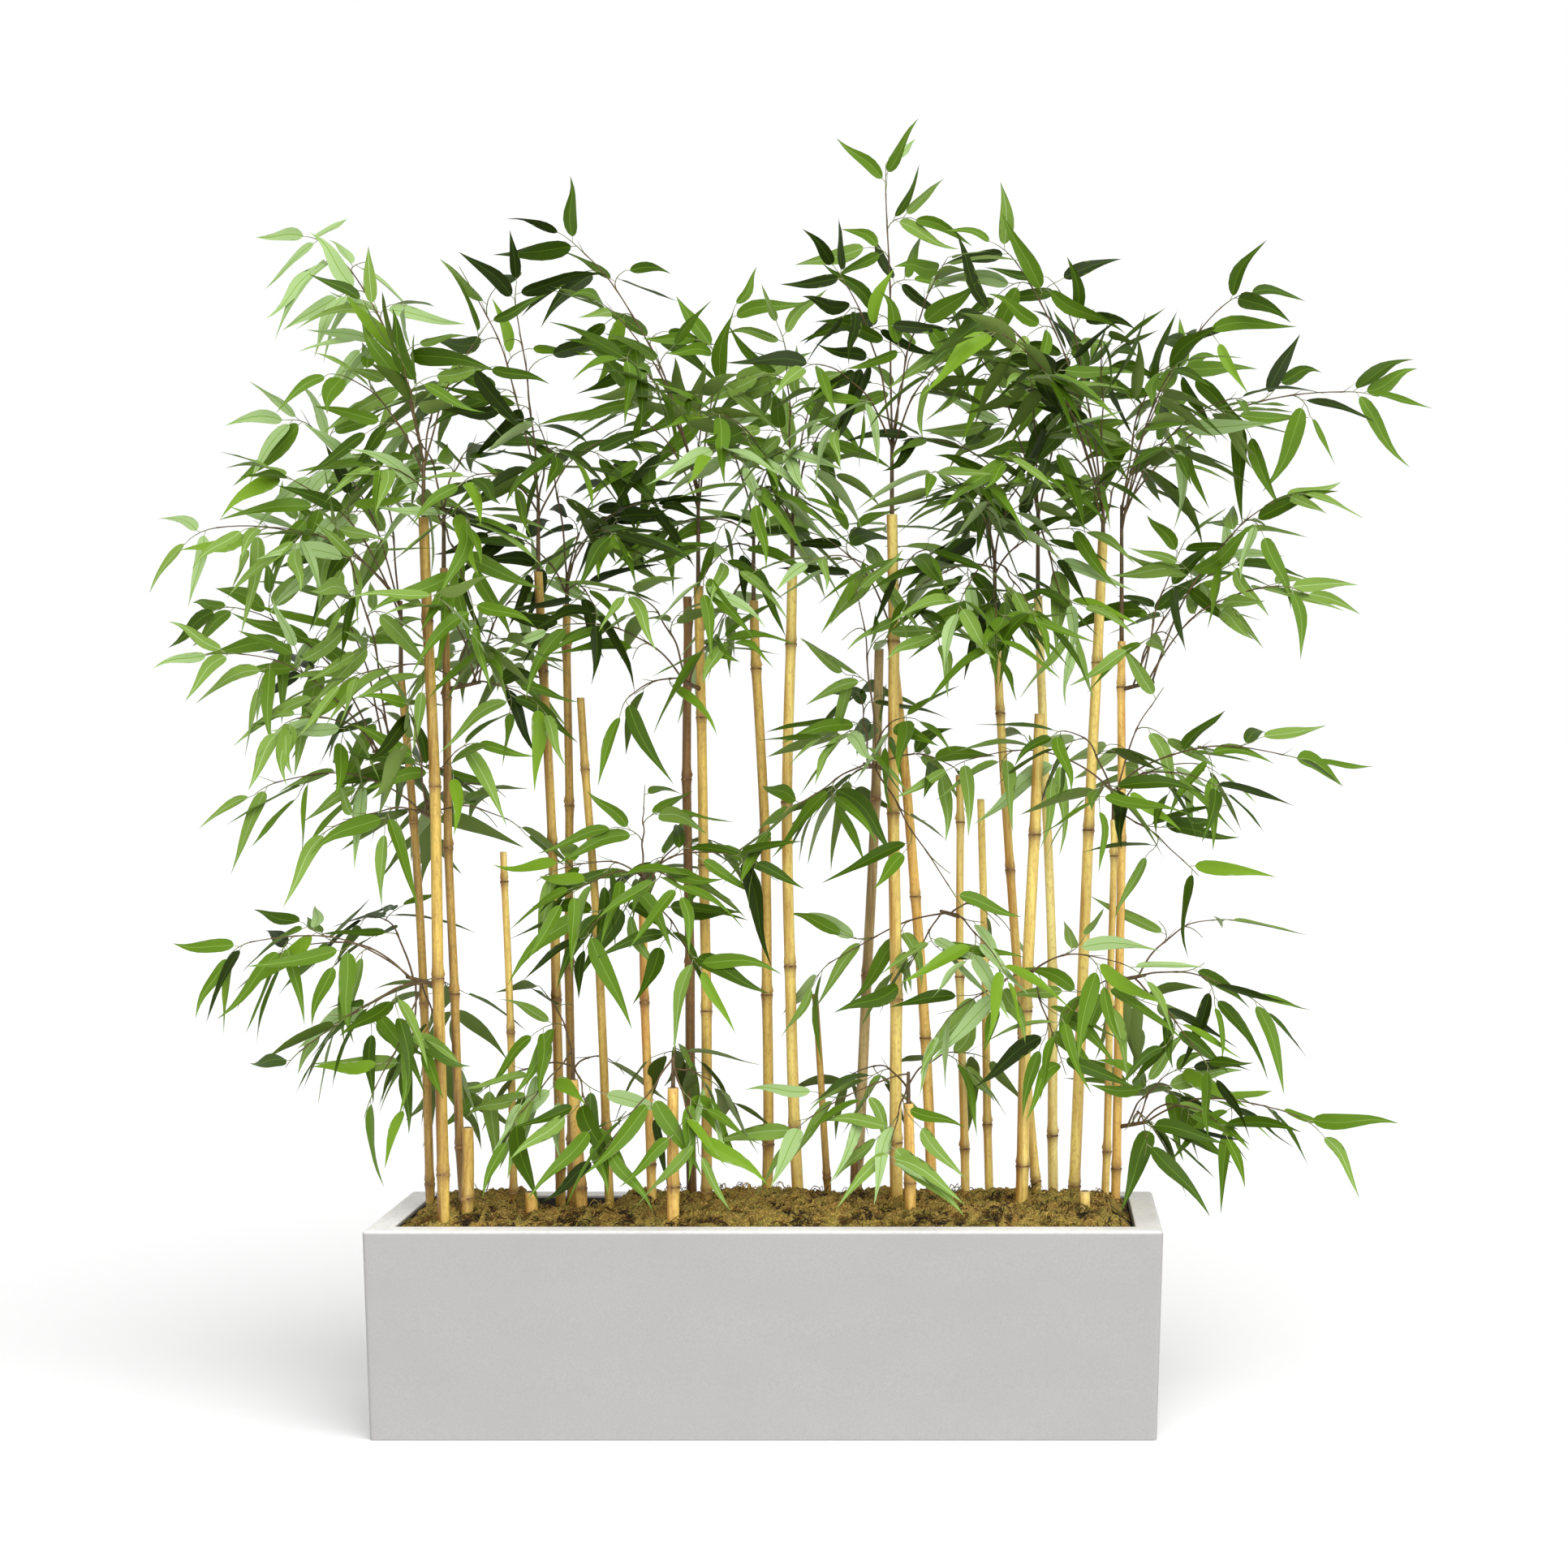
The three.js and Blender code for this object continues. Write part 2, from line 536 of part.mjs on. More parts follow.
// Every mass gets its stem and its clear-running sprays first, and then its leaves.
function makeMasses(canes, limbs) {
  const placed = [];
  const masses = MASSES.map((row, index) => {
    const [foot, tip] = stemEnds(row, canes);
    const downStem = foot.clone().sub(tip).normalize();
    const curves = [];
    for (const end of row.tips) {
      const start = tip.clone().addScaledVector(downStem, FORK_SPACING * (curves.length + 0.4));
      const tries = ASIDE.map((aside) => sprayCurve(start, end, aside));
      const curve = tries.find((c) => runsClear(c, canes, placed));
      if (curve) curves.push(curve);
    }
    for (const curve of curves) placed.push(...curve.getPoints(CLEAR_SAMPLES));
    const level = Math.abs(downStem.z) > 0.9 ? RIGHT : new THREE.Vector3().crossVectors(UP, downStem);
    const clearOfCane = solidOf(caneGeometry(canes[row.cane - 1], FIT_GAP));
    const rod = wireSolid([foot, tip], STEM_RADIUS, STEM_RADIUS, level.clone().normalize());
    const stem = rod.subtract(clearOfCane);
    const sprays = curves.map((curve) => {
      const wire = curve.getPoints(WIRE_BENDS);
      return { wire, solid: wireSolid(wire, WIRE_RADIUS, WIRE_TIP_RADIUS, besideArch(curve)) };
    });
    const wires = [stem, ...sprays.map((spray) => spray.solid)].map(boxed);
    return { index, sprays, wires, leaves: [] };
  });
  for (const mass of masses) {
    const strangers = [...limbs];
    for (const other of masses) if (other !== mass) strangers.push(...other.wires, ...other.leaves);
    mass.sprays.forEach((spray, number) => {
      const draw = seeded(100 * (mass.index + 1) + number);
      for (const leaf of sprayLeaves(spray.wire, draw)) {
        if (touches(boxed(leafSolid(leaf, LEAF_MARGIN)), strangers)) continue;
        mass.leaves.push(boxed(leafSolid(leaf)));
      }
    });
  }
  return masses.map((mass) => {
    const pieces = [...mass.wires, ...mass.leaves];
    return wasm.Manifold.union(pieces.map((piece) => piece.solid));
  });
}

const screen = new THREE.Group();

function addPiece(name, geometry, look) {
  const piece = new THREE.Mesh(geometry, new THREE.MeshStandardMaterial(look));
  piece.name = name;
  screen.add(piece);
}

const numbered = (word, index) => `${word}_${String(index + 1).padStart(2, "0")}`;

const canes = CANES.map(grownCane);
const trough = makeTrough();
const bed = makeBed(canes);
const caneSolids = canes.map((cane) => solidOf(caneGeometry(cane)));
const masses = makeMasses(canes, [trough, bed, ...caneSolids].map(boxed));

addPiece("trough", geometryOf(trough), LOOKS.trough);
addPiece("moss_bed", geometryOf(bed), LOOKS.bed);
caneSolids.forEach((solid, i) => addPiece(numbered("cane", i), geometryOf(solid), LOOKS.cane));
masses.forEach((solid, i) => addPiece(numbered("foliage", i), geometryOf(solid), LOOKS.foliage));

export default screen;
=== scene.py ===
import math

import bpy
import numpy as np
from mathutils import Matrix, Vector, noise


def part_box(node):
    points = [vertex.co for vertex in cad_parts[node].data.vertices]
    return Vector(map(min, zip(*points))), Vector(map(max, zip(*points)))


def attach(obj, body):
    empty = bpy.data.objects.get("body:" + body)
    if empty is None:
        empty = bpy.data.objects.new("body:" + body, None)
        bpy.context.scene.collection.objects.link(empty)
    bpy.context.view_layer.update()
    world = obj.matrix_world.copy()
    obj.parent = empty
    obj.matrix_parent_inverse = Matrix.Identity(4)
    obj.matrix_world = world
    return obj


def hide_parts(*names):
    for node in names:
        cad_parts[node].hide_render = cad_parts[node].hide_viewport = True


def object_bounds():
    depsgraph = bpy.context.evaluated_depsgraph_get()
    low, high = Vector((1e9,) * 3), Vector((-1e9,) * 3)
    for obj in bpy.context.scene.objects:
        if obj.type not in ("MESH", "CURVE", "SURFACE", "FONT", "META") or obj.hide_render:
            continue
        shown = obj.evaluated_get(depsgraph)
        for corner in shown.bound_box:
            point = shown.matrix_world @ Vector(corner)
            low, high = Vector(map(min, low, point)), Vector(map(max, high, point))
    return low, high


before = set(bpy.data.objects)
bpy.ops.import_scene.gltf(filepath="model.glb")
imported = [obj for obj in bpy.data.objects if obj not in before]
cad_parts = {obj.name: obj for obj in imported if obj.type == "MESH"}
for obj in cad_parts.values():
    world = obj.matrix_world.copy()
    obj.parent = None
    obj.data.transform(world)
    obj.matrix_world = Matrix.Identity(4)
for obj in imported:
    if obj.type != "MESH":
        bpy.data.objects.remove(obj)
cad_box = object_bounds()


# The studio: a pale floor without a seam, an even soft light from all round with a wide key light
# from high in front and a little to the right, and the camera where the photograph was taken from,
# level with the crown and looking straight at the trough's long side.
PHOTO_SIDE = 1932  # pixels
FOCAL_LENGTH = 3556  # pixels
STRAIGHT_AHEAD = (1251, 871.7)  # the pixel that the camera looks straight at
CAMERA_PLACE = (0.315, -3.747, 0.916)
SENSOR = 36  # millimetres wide
FLOOR_REACH = 60  # metres each way
AMBIENT = 0.5
KEY_LIGHT = {"from": (0.5, -1.2, 1.12), "strength": 3.1, "softness": 72}  # softness in degrees


def screen_colour(red, green, blue):
    """A colour as a screen shows it, each part from 0 to 255, in Blender's own linear values."""
    shares = [part / 255 for part in (red, green, blue)]
    linear = [s / 12.92 if s <= 0.04045 else ((s + 0.055) / 1.055) ** 2.4 for s in shares]
    return (*linear, 1.0)


def new_finish(name, colour, roughness):
    """A material and its shader, in one plain colour so far."""
    material = bpy.data.materials.new(name)
    material.use_nodes = True
    shader = material.node_tree.nodes["Principled BSDF"]
    shader.inputs["Base Color"].default_value = screen_colour(*colour)
    shader.inputs["Roughness"].default_value = roughness
    return material, shader


def add_object(name, data):
    made = bpy.data.objects.new(name, data)
    bpy.context.scene.collection.objects.link(made)
    return made


def make_studio():
    floor_mesh = bpy.data.meshes.new("studio_floor")
    corners = [(x * FLOOR_REACH, y * FLOOR_REACH, 0) for x, y in ((-1, -1), (1, -1), (1, 1), (-1, 1))]
    floor_mesh.from_pydata(corners, [], [(0, 1, 2, 3)])
    floor_finish, _ = new_finish("studio_floor", (255, 255, 255), 0.7)
    floor_mesh.materials.append(floor_finish)
    add_object("studio_floor", floor_mesh)

    light = bpy.data.lights.new("key_light", "SUN")
    light.energy = KEY_LIGHT["strength"]
    light.angle = math.radians(KEY_LIGHT["softness"])
    holder = add_object("key_light", light)
    holder.rotation_euler = (-Vector(KEY_LIGHT["from"])).to_track_quat("-Z", "Y").to_euler()

    world = bpy.data.worlds.new("studio_air")
    world.use_nodes = True
    tree = world.node_tree
    backdrop = tree.nodes["Background"]
    path = tree.nodes.new("ShaderNodeLightPath")
    strength = tree.nodes.new("ShaderNodeMapRange")
    strength.inputs["To Min"].default_value = AMBIENT
    strength.inputs["To Max"].default_value = 1.0
    backdrop.inputs["Color"].default_value = (1, 1, 1, 1)
    tree.links.new(path.outputs["Is Camera Ray"], strength.inputs["Value"])
    tree.links.new(strength.outputs["Result"], backdrop.inputs["Strength"])
    bpy.context.scene.world = world

    camera = bpy.data.cameras.new("camera")
    camera.sensor_width = SENSOR
    camera.lens = SENSOR * FOCAL_LENGTH / PHOTO_SIDE
    camera.shift_x = (PHOTO_SIDE / 2 - STRAIGHT_AHEAD[0]) / PHOTO_SIDE
    camera.shift_y = (STRAIGHT_AHEAD[1] - PHOTO_SIDE / 2) / PHOTO_SIDE
    stand = add_object("camera", camera)
    stand.location = CAMERA_PLACE
    stand.rotation_euler = (math.radians(90), 0, 0)
    bpy.context.scene.camera = stand
    bpy.context.scene.view_settings.view_transform = "Standard"


make_studio()


# The trough: a planter moulded in one piece from resin filled with stone dust, matt and very
# faintly cloudy. It narrows to its foot, and at the top the wall folds inwards to a wide flat rim
# with a soft outer edge. All sizes here and below are in millimetres, as on the part's drawing.
MM = 0.001
trough_low, trough_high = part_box("trough")
TROUGH_LENGTH = (trough_high.x - trough_low.x) / MM
TROUGH_DEPTH = (trough_high.y - trough_low.y) / MM
TROUGH_HEIGHT = trough_high.z / MM
TROUGH_DRAFT = 8
TROUGH_CORNER = 5
CORNER_STEPS = 6
CORNER_STEADY = 6  # the flats are held flat this near to a corner
FOOT_ROUND = 2
RIM_ROUND = 5
RIM_INNER_ROUND = 2
RIM_WIDTH = 34
RIM_THICKNESS = 12
RIM_DISH = 0.3  # the rim's top sinks by this along its middle
RIM_STEADY = {"side": 4, "outer": 3, "inner": 5}  # its flats are held flat this near to its rounds
FOLD_BEVEL = 1  # on the edges under the folded rim
SIDE_RINGS = (6, 90, 170)  # the heights of the rings of points up its side
TROUGH_WALL = 10
TROUGH_FLOOR = 12
ARC_STEPS = 6


def place_node(tree, kind, **settings):
    node = tree.nodes.new(kind)
    for setting, value in settings.items():
        setattr(node, setting, value)
    return node


def new_effect(name, inputs, outputs):
    """An empty effect for several materials, with its inputs and outputs by name."""
    effect = bpy.data.node_groups.new(name, "ShaderNodeTree")
    for label, value in inputs.items():
        socket = effect.interface.new_socket(label, in_out="INPUT", socket_type="NodeSocketFloat")
        socket.default_value = value
    for label in outputs:
        effect.interface.new_socket(label, in_out="OUTPUT", socket_type="NodeSocketFloat")
    return effect, effect.nodes.new("NodeGroupInput"), effect.nodes.new("NodeGroupOutput")


def use_effect(material, effect, **values):
    node = place_node(material.node_tree, "ShaderNodeGroup", node_tree=effect)
    for label, value in values.items():
        node.inputs[label.replace("_", " ")].default_value = value
    return node


def calculate(tree, operation, *values, clamp=False):
    """A sum of numbers or sockets, as its result's socket."""
    node = place_node(tree, "ShaderNodeMath", operation=operation, use_clamp=clamp)
    for socket, value in zip(node.inputs, values):
        if isinstance(value, bpy.types.NodeSocket):
            tree.links.new(value, socket)
        else:
            socket.default_value = value
    return node.outputs[0]


def blend_colours(tree, mask, low, high):
    """From the colour low to the colour high as the mask goes from 0 to 1."""
    node = place_node(tree, "ShaderNodeMix", data_type="RGBA")
    tree.links.new(mask, node.inputs[0])
    for socket, value in ((node.inputs[6], low), (node.inputs[7], high)):
        if isinstance(value, bpy.types.NodeSocket):
            tree.links.new(value, socket)
        else:
            socket.default_value = screen_colour(*value)
    return node.outputs[2]


def between(tree, mask, low, high):
    node = place_node(tree, "ShaderNodeMapRange")
    node.inputs["To Min"].default_value = low
    node.inputs["To Max"].default_value = high
    tree.links.new(mask, node.inputs["Value"])
    return node.outputs["Result"]


def raise_relief(material, shader, height, depth):
    """Carves a height from 0 to 1 into the surface, so many millimetres deep."""
    tree = material.node_tree
    bump = place_node(tree, "ShaderNodeBump")
    bump.inputs["Distance"].default_value = depth * MM
    tree.links.new(height, bump.inputs["Height"])
    tree.links.new(bump.outputs["Normal"], shader.inputs["Normal"])


def stretched_noise(effect, level, upright, detail, contrast):
    """Noise as a mask from 0 to 1, as fine as the socket level says both level ways, and as the
    socket upright says up and down."""
    place = place_node(effect, "ShaderNodeTexCoord").outputs["Object"]
    squeeze = place_node(effect, "ShaderNodeCombineXYZ")
    for axis, fineness in zip("XYZ", (level, level, upright)):
        effect.links.new(fineness, squeeze.inputs[axis])
    scaled = place_node(effect, "ShaderNodeVectorMath", operation="MULTIPLY")
    effect.links.new(place, scaled.inputs[0])
    effect.links.new(squeeze.outputs["Vector"], scaled.inputs[1])
    clouds = place_node(effect, "ShaderNodeTexNoise")
    clouds.inputs["Scale"].default_value = 1
    clouds.inputs["Detail"].default_value = detail
    effect.links.new(scaled.outputs["Vector"], clouds.inputs["Vector"])
    centred = calculate(effect, "SUBTRACT", clouds.outputs["Fac"], 0.5)
    stronger = calculate(effect, "MULTIPLY", centred, contrast)
    return calculate(effect, "ADD", stronger, 0.5, clamp=True)


def make_patches_effect():
    """Soft patches of a size in millimetres, drawn out upright, as a mask from 0 to 1."""
    effect, start, end = new_effect("soft_patches", {"Size": 50, "Stretch": 1, "Contrast": 1}, ["Mask"])
    level = calculate(effect, "DIVIDE", 1 / MM, start.outputs["Size"])
    upright = calculate(effect, "DIVIDE", level, start.outputs["Stretch"])
    mask = stretched_noise(effect, level, upright, 4, start.outputs["Contrast"])
    effect.links.new(mask, end.inputs["Mask"])
    return effect


def make_dust_and_top_light_effect():
    """Dust that settles where a surface faces up, and the painted light on such tops, as one mask from
    0 to 1.
    """
    effect, start, end = new_effect("dust_and_top_light", {"Amount": 0.5}, ["Mask"])
    facing = place_node(effect, "ShaderNodeSeparateXYZ")
    geometry = place_node(effect, "ShaderNodeNewGeometry")
    effect.links.new(geometry.outputs["Normal"], facing.inputs["Vector"])
    flecks = place_node(effect, "ShaderNodeTexNoise")
    flecks.inputs["Scale"].default_value = 140
    flecks.inputs["Detail"].default_value = 5
    coordinates = place_node(effect, "ShaderNodeTexCoord")
    effect.links.new(coordinates.outputs["Object"], flecks.inputs["Vector"])
    lying = calculate(effect, "SUBTRACT", facing.outputs["Z"], 0.2, clamp=True)
    fleck = calculate(effect, "MULTIPLY_ADD", flecks.outputs["Fac"], 0.5, 0.3)
    patchy = calculate(effect, "MULTIPLY", lying, fleck)
    mask = calculate(effect, "MULTIPLY", patchy, start.outputs["Amount"], clamp=True)
    effect.links.new(mask, end.inputs["Mask"])
    return effect


soft_patches = make_patches_effect()
dust_and_top_light = make_dust_and_top_light_effect()


def make_trough_finish():
    material, shader = new_finish("cast_stone_resin", (206, 205, 206), 0.62)
    tree = material.node_tree
    clouds = use_effect(material, soft_patches, Size=120, Stretch=0.6, Contrast=1.5)
    pitting = use_effect(material, soft_patches, Size=2.2, Contrast=1.8)
    scuffs = use_effect(material, soft_patches, Size=26, Stretch=0.25, Contrast=2.2)
    # Painted top light: dust this strong makes every face that points up, the rim's top above all,
    # nearly white, as if lit from above.
    dust_and_top_light_mask = use_effect(material, dust_and_top_light, Amount=2.2)
    body = blend_colours(tree, clouds.outputs["Mask"], (161, 159, 158), (168, 168, 169))
    speckled = blend_colours(tree, pitting.outputs["Mask"], (157, 155, 154), body)
    dusted_and_top_lit = blend_colours(tree, dust_and_top_light_mask.outputs["Mask"], speckled, (252, 250, 247))
    tree.links.new(dusted_and_top_lit, shader.inputs["Base Color"])
    tree.links.new(between(tree, scuffs.outputs["Mask"], 0.52, 0.7), shader.inputs["Roughness"])
    raise_relief(material, shader, pitting.outputs["Mask"], 0.12)
    return material


def add_piece(name, points, faces, finishes, face_finishes=None, leaf_places=None, marks=None):
    """A smooth mesh from points in millimetres. leaf_places holds a UV place for each point, and
    marks holds, by name, a value for each point that a finish reads."""
    mesh = bpy.data.meshes.new(name)
    mesh.from_pydata((np.asarray(points) * MM).tolist(), [], faces)
    mesh.polygons.foreach_set("use_smooth", [True] * len(mesh.polygons))
    for finish in finishes:
        mesh.materials.append(finish)
    if face_finishes is not None:
        mesh.polygons.foreach_set("material_index", np.asarray(face_finishes, dtype=np.int32))
    if leaf_places is not None:
        corner_points = np.zeros(len(mesh.loops), dtype=np.int32)
        mesh.loops.foreach_get("vertex_index", corner_points)
        layer = mesh.uv_layers.new(name="leaf_places")
        layer.data.foreach_set("uv", np.asarray(leaf_places, dtype=np.float32)[corner_points].ravel())
    for label, values in (marks or {}).items():
        layer = mesh.attributes.new(label, "FLOAT", "POINT")
        layer.data.foreach_set("value", np.asarray(values, dtype=np.float32))
    mesh.update()
    piece = add_object(name, mesh)
    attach(piece, "root")
    return piece


def box_outline(half_length, half_depth, radius, height):
    """A loop of points round an upright box with rounded corners, anticlockwise from above."""
    loop = []
    for corner in range(4):
        turn = corner * math.pi / 2
        side_x = 1 if corner in (0, 3) else -1
        side_y = 1 if corner in (0, 1) else -1
        middle_x = side_x * (half_length - radius)
        middle_y = side_y * (half_depth - radius)
        before = (math.sin(turn) * CORNER_STEADY, -math.cos(turn) * CORNER_STEADY)
        after = (-math.cos(turn) * CORNER_STEADY, -math.sin(turn) * CORNER_STEADY)
        arc = []
        for step in range(CORNER_STEPS + 1):
            angle = turn + step / CORNER_STEPS * math.pi / 2
            arc.append((middle_x + radius * math.cos(angle), middle_y + radius * math.sin(angle)))
        loop.append((arc[0][0] + before[0], arc[0][1] + before[1], height))
        loop += [(x, y, height) for x, y in arc]
        loop.append((arc[-1][0] + after[0], arc[-1][1] + after[1], height))
    return loop


def arc_profile(centre, radius, start, stop):
    """Points of an arc in a profile, from one angle in degrees to the other."""
    angles = np.radians(np.linspace(start, stop, ARC_STEPS + 1))
    return [(centre[0] + radius * math.cos(a), centre[1] + radius * math.sin(a)) for a in angles]


def box_shell(profile, length, depth, draft):
    """Runs a profile of (inset, height) round a box. Both ends of the profile are closed flat."""
    points = []
    for inset, height in profile:
        inward = inset + draft * (1 - height / TROUGH_HEIGHT)
        radius = max(TROUGH_CORNER - inset, 1)
        points += box_outline(length / 2 - inward, depth / 2 - inward, radius, height)
    count = len(points) // len(profile)
    faces = [tuple(range(count))[::-1]]
    for ring in range(len(profile) - 1):
        low = ring * count
        for i in range(count):
            j = (i + 1) % count
            faces.append((low + i, low + j, low + count + j, low + count + i))
    faces.append(tuple(range(len(points) - count, len(points))))
    return points, faces


def make_trough():
    rim_under = TROUGH_HEIGHT - RIM_THICKNESS
    profile = arc_profile((FOOT_ROUND, FOOT_ROUND), FOOT_ROUND, 270, 180)
    side_rings = (*SIDE_RINGS, TROUGH_HEIGHT - RIM_ROUND - RIM_STEADY["side"])
    profile += [(0, height) for height in side_rings]
    profile += arc_profile((RIM_ROUND, TROUGH_HEIGHT - RIM_ROUND), RIM_ROUND, 180, 90)
    profile.append((RIM_ROUND + RIM_STEADY["outer"], TROUGH_HEIGHT))
    profile.append((RIM_WIDTH / 2, TROUGH_HEIGHT - RIM_DISH))
    profile.append((RIM_WIDTH - RIM_STEADY["inner"], TROUGH_HEIGHT))
    inner_centre = (RIM_WIDTH - RIM_INNER_ROUND, TROUGH_HEIGHT - RIM_INNER_ROUND)
    profile += arc_profile(inner_centre, RIM_INNER_ROUND, 90, 0)
    profile += [(RIM_WIDTH, rim_under + FOLD_BEVEL), (RIM_WIDTH - FOLD_BEVEL, rim_under)]
    profile += [(TROUGH_WALL + FOLD_BEVEL, rim_under), (TROUGH_WALL, rim_under - FOLD_BEVEL)]
    profile.append((TROUGH_WALL, TROUGH_FLOOR))
    points, faces = box_shell(profile, TROUGH_LENGTH, TROUGH_DEPTH, TROUGH_DRAFT)
    piece = add_piece("planter_trough", points, faces, [make_trough_finish()])
    piece.data.set_sharp_from_angle(angle=math.radians(50))
    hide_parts("trough")


make_trough()


# The liner: a thin near-black tray that the dry fill sits in, dark partly as its own plastic and
# partly as painted shade in the narrow gap inside the rim. Only its upper edge shows, as a dark
# line just inside the rim, where it is pressed against the fold.
LINER_GAP = 0.4
LINER_WALL = 1.6
LINER_DROP = 3.2  # its edge lies this far under the rim's top
LINER_DEPTH = 34


def make_liner():
    # Near black: the plastic's own colour and painted shade of the gap inside the rim.
    material, shader = new_finish("liner_dark_plastic_and_gap_shade", (34, 33, 31), 0.5)
    tree = material.node_tree
    scratches = use_effect(material, soft_patches, Size=6, Stretch=0.3, Contrast=2)
    dust_and_top_light_mask = use_effect(material, dust_and_top_light, Amount=0.5)
    colour = blend_colours(tree, dust_and_top_light_mask.outputs["Mask"], (34, 33, 31), (96, 84, 62))
    tree.links.new(colour, shader.inputs["Base Color"])
    tree.links.new(between(tree, scratches.outputs["Mask"], 0.35, 0.65), shader.inputs["Roughness"])
    raise_relief(material, shader, scratches.outputs["Mask"], 0.08)
    outer = RIM_WIDTH + LINER_GAP
    inner = outer + LINER_WALL
    top = TROUGH_HEIGHT - LINER_DROP
    bottom = top - LINER_DEPTH
    middle = (outer + LINER_WALL / 2, top - LINER_WALL / 2)
    profile = [(outer, bottom), *arc_profile(middle, LINER_WALL / 2, 180, 0), (inner, bottom)]
    points, faces = box_shell(profile, TROUGH_LENGTH, TROUGH_DEPTH, 0)
    count = len(points) // len(profile)
    under = len(points) - count
    closing = [(i, under + i, under + (i + 1) % count, (i + 1) % count) for i in range(count)]
    piece = add_piece("planter_liner", points, faces[1:-1] + closing, [material])
    piece.data.set_sharp_from_angle(angle=math.radians(50))


make_liner()


# The moss: dried sheet moss laid by hand over a foam block, in low mounds and loose tufts. It is a
# felted mat of short brown and olive fibres, with longer strands that curl out of it.
MOSS_DROP = 6
MOSS_GAP = 4
MOSS_MOUND = 10
WIDE_SWELL = {"height": 0.45, "x": 61, "y": 43, "shift": 0.8}  # of the mound's height
NARROW_SWELL = {"height": 0.3, "x": 27, "y": 31}
MOSS_SHOULDER = 45
MOSS_CELL = 2.9
MOSS_SKIRT = 30
# The size of each noise in the moss, and how high it stands.
MOSS_CLUMPS = ((33, 6), (15, 8), (8, 4.5), (4, 2))
CLUMP_CREASE = 2.4  # how far the creases between clumps cut in
CLUMPS_AT_RIM = 0.3  # of their height, where the mat is pressed down beside the rim
CLUMPS_SUNK = 3  # the clumps' mean level lies this far under the mound's
CREST_HEIGHT = 9.5  # the painted shade of the gaps fades out over this height, from the darkest gap up to the palest crest
CREST_START = 0.1  # of that, and lower is all painted shade
HOLLOW_EDGE = 1.6  # how steeply the hollow below ends to its left and right
MOSS_HOLLOW = {"middle": -264, "half_length": 74, "flat": 95, "reach": 190, "depth": 20}
# Two kinds of strand: how many in how many tufts, how they lie, and their sizes.
LONG_STRANDS = {
    "seed": 7, "tufts": 560, "each": 11, "spread": 6, "steps": 4, "length": (9, 24),
    "radius": (0.4, 0.85), "lift": (2, 10),
}
FINE_STRANDS = {
    "seed": 8, "tufts": 900, "each": 8, "spread": 9, "steps": 3, "length": (5, 12),
    "radius": (0.3, 0.6), "lift": (2, 7),
}
PROUD_SHARE = 0.1  # of the tufts, which stand up well over the rest
PROUD_LIFT = 2.2
STRAND_CURL = 1.0
STRAND_REST = 1  # how far over the mat a strand lies
STRAND_ARC_OVER = 1.6  # a strand's rise is an arc that would end this many steps past its tip
STRAND_ENDS = (0.35, math.pi - 0.25)  # a strand tapers as a sine does between these
TONE_SPREAD = 3.2  # how far the patches of one colour stand apart
STRAND_TONE_SPREAD = (-0.8, 0.32)  # and the strands within one
MOSS_TONE_SIZE = 17  # of the patches of one colour
STRAND_COLOURS = (
    (34, 21, 7), (70, 42, 11), (114, 74, 21), (105, 96, 28), (148, 119, 38), (196, 166, 80),
)
MOSS_HALF_LENGTH = TROUGH_LENGTH / 2 - RIM_WIDTH - MOSS_GAP
MOSS_HALF_DEPTH = TROUGH_DEPTH / 2 - RIM_WIDTH - MOSS_GAP
OFF_EVERY_LINE = np.array([0.31, 0.17, 0.93])  # no strand or wire runs this way


def moss_shoulder(x, y):
    """How far the moss has risen from the rim, from 0 to 1."""
    inland = np.minimum(MOSS_HALF_LENGTH - np.abs(x), MOSS_HALF_DEPTH - np.abs(y))
    return np.sin(math.pi / 2 * np.clip(inland / MOSS_SHOULDER, 0, 1))


def moss_level(x, y):
    """The height of the moss, by the same mounds as on the part's drawing."""
    wide = np.sin(x / WIDE_SWELL["x"] + WIDE_SWELL["shift"]) * np.cos(y / WIDE_SWELL["y"])
    narrow = np.sin(x / NARROW_SWELL["x"] + y / NARROW_SWELL["y"])
    swell = WIDE_SWELL["height"] * wide + NARROW_SWELL["height"] * narrow
    return TROUGH_HEIGHT - MOSS_DROP + MOSS_MOUND * moss_shoulder(x, y) * (1 + swell)


def moss_hollow(x, y):
    """How far the moss has sunk at the back, where it leaves a strip of the liner bare, dark with its
    painted shade.
    """
    beside = (np.asarray(x) - MOSS_HOLLOW["middle"]) / MOSS_HOLLOW["half_length"]
    before = MOSS_HALF_DEPTH - np.asarray(y)
    rise = (MOSS_HOLLOW["reach"] - before) / (MOSS_HOLLOW["reach"] - MOSS_HOLLOW["flat"])
    return MOSS_HOLLOW["depth"] * np.clip(HOLLOW_EDGE * (1 - beside**2), 0, 1) * np.clip(rise, 0, 1)


def moss_clumps(x, y):
    """How far a point of the moss stands over the hollows between the tufts."""
    height = 0
    for size, rise in MOSS_CLUMPS:
        ripple = noise.noise(Vector((x / size, y / size, size)))
        height += rise * (1 - CLUMP_CREASE * abs(ripple))
    return height


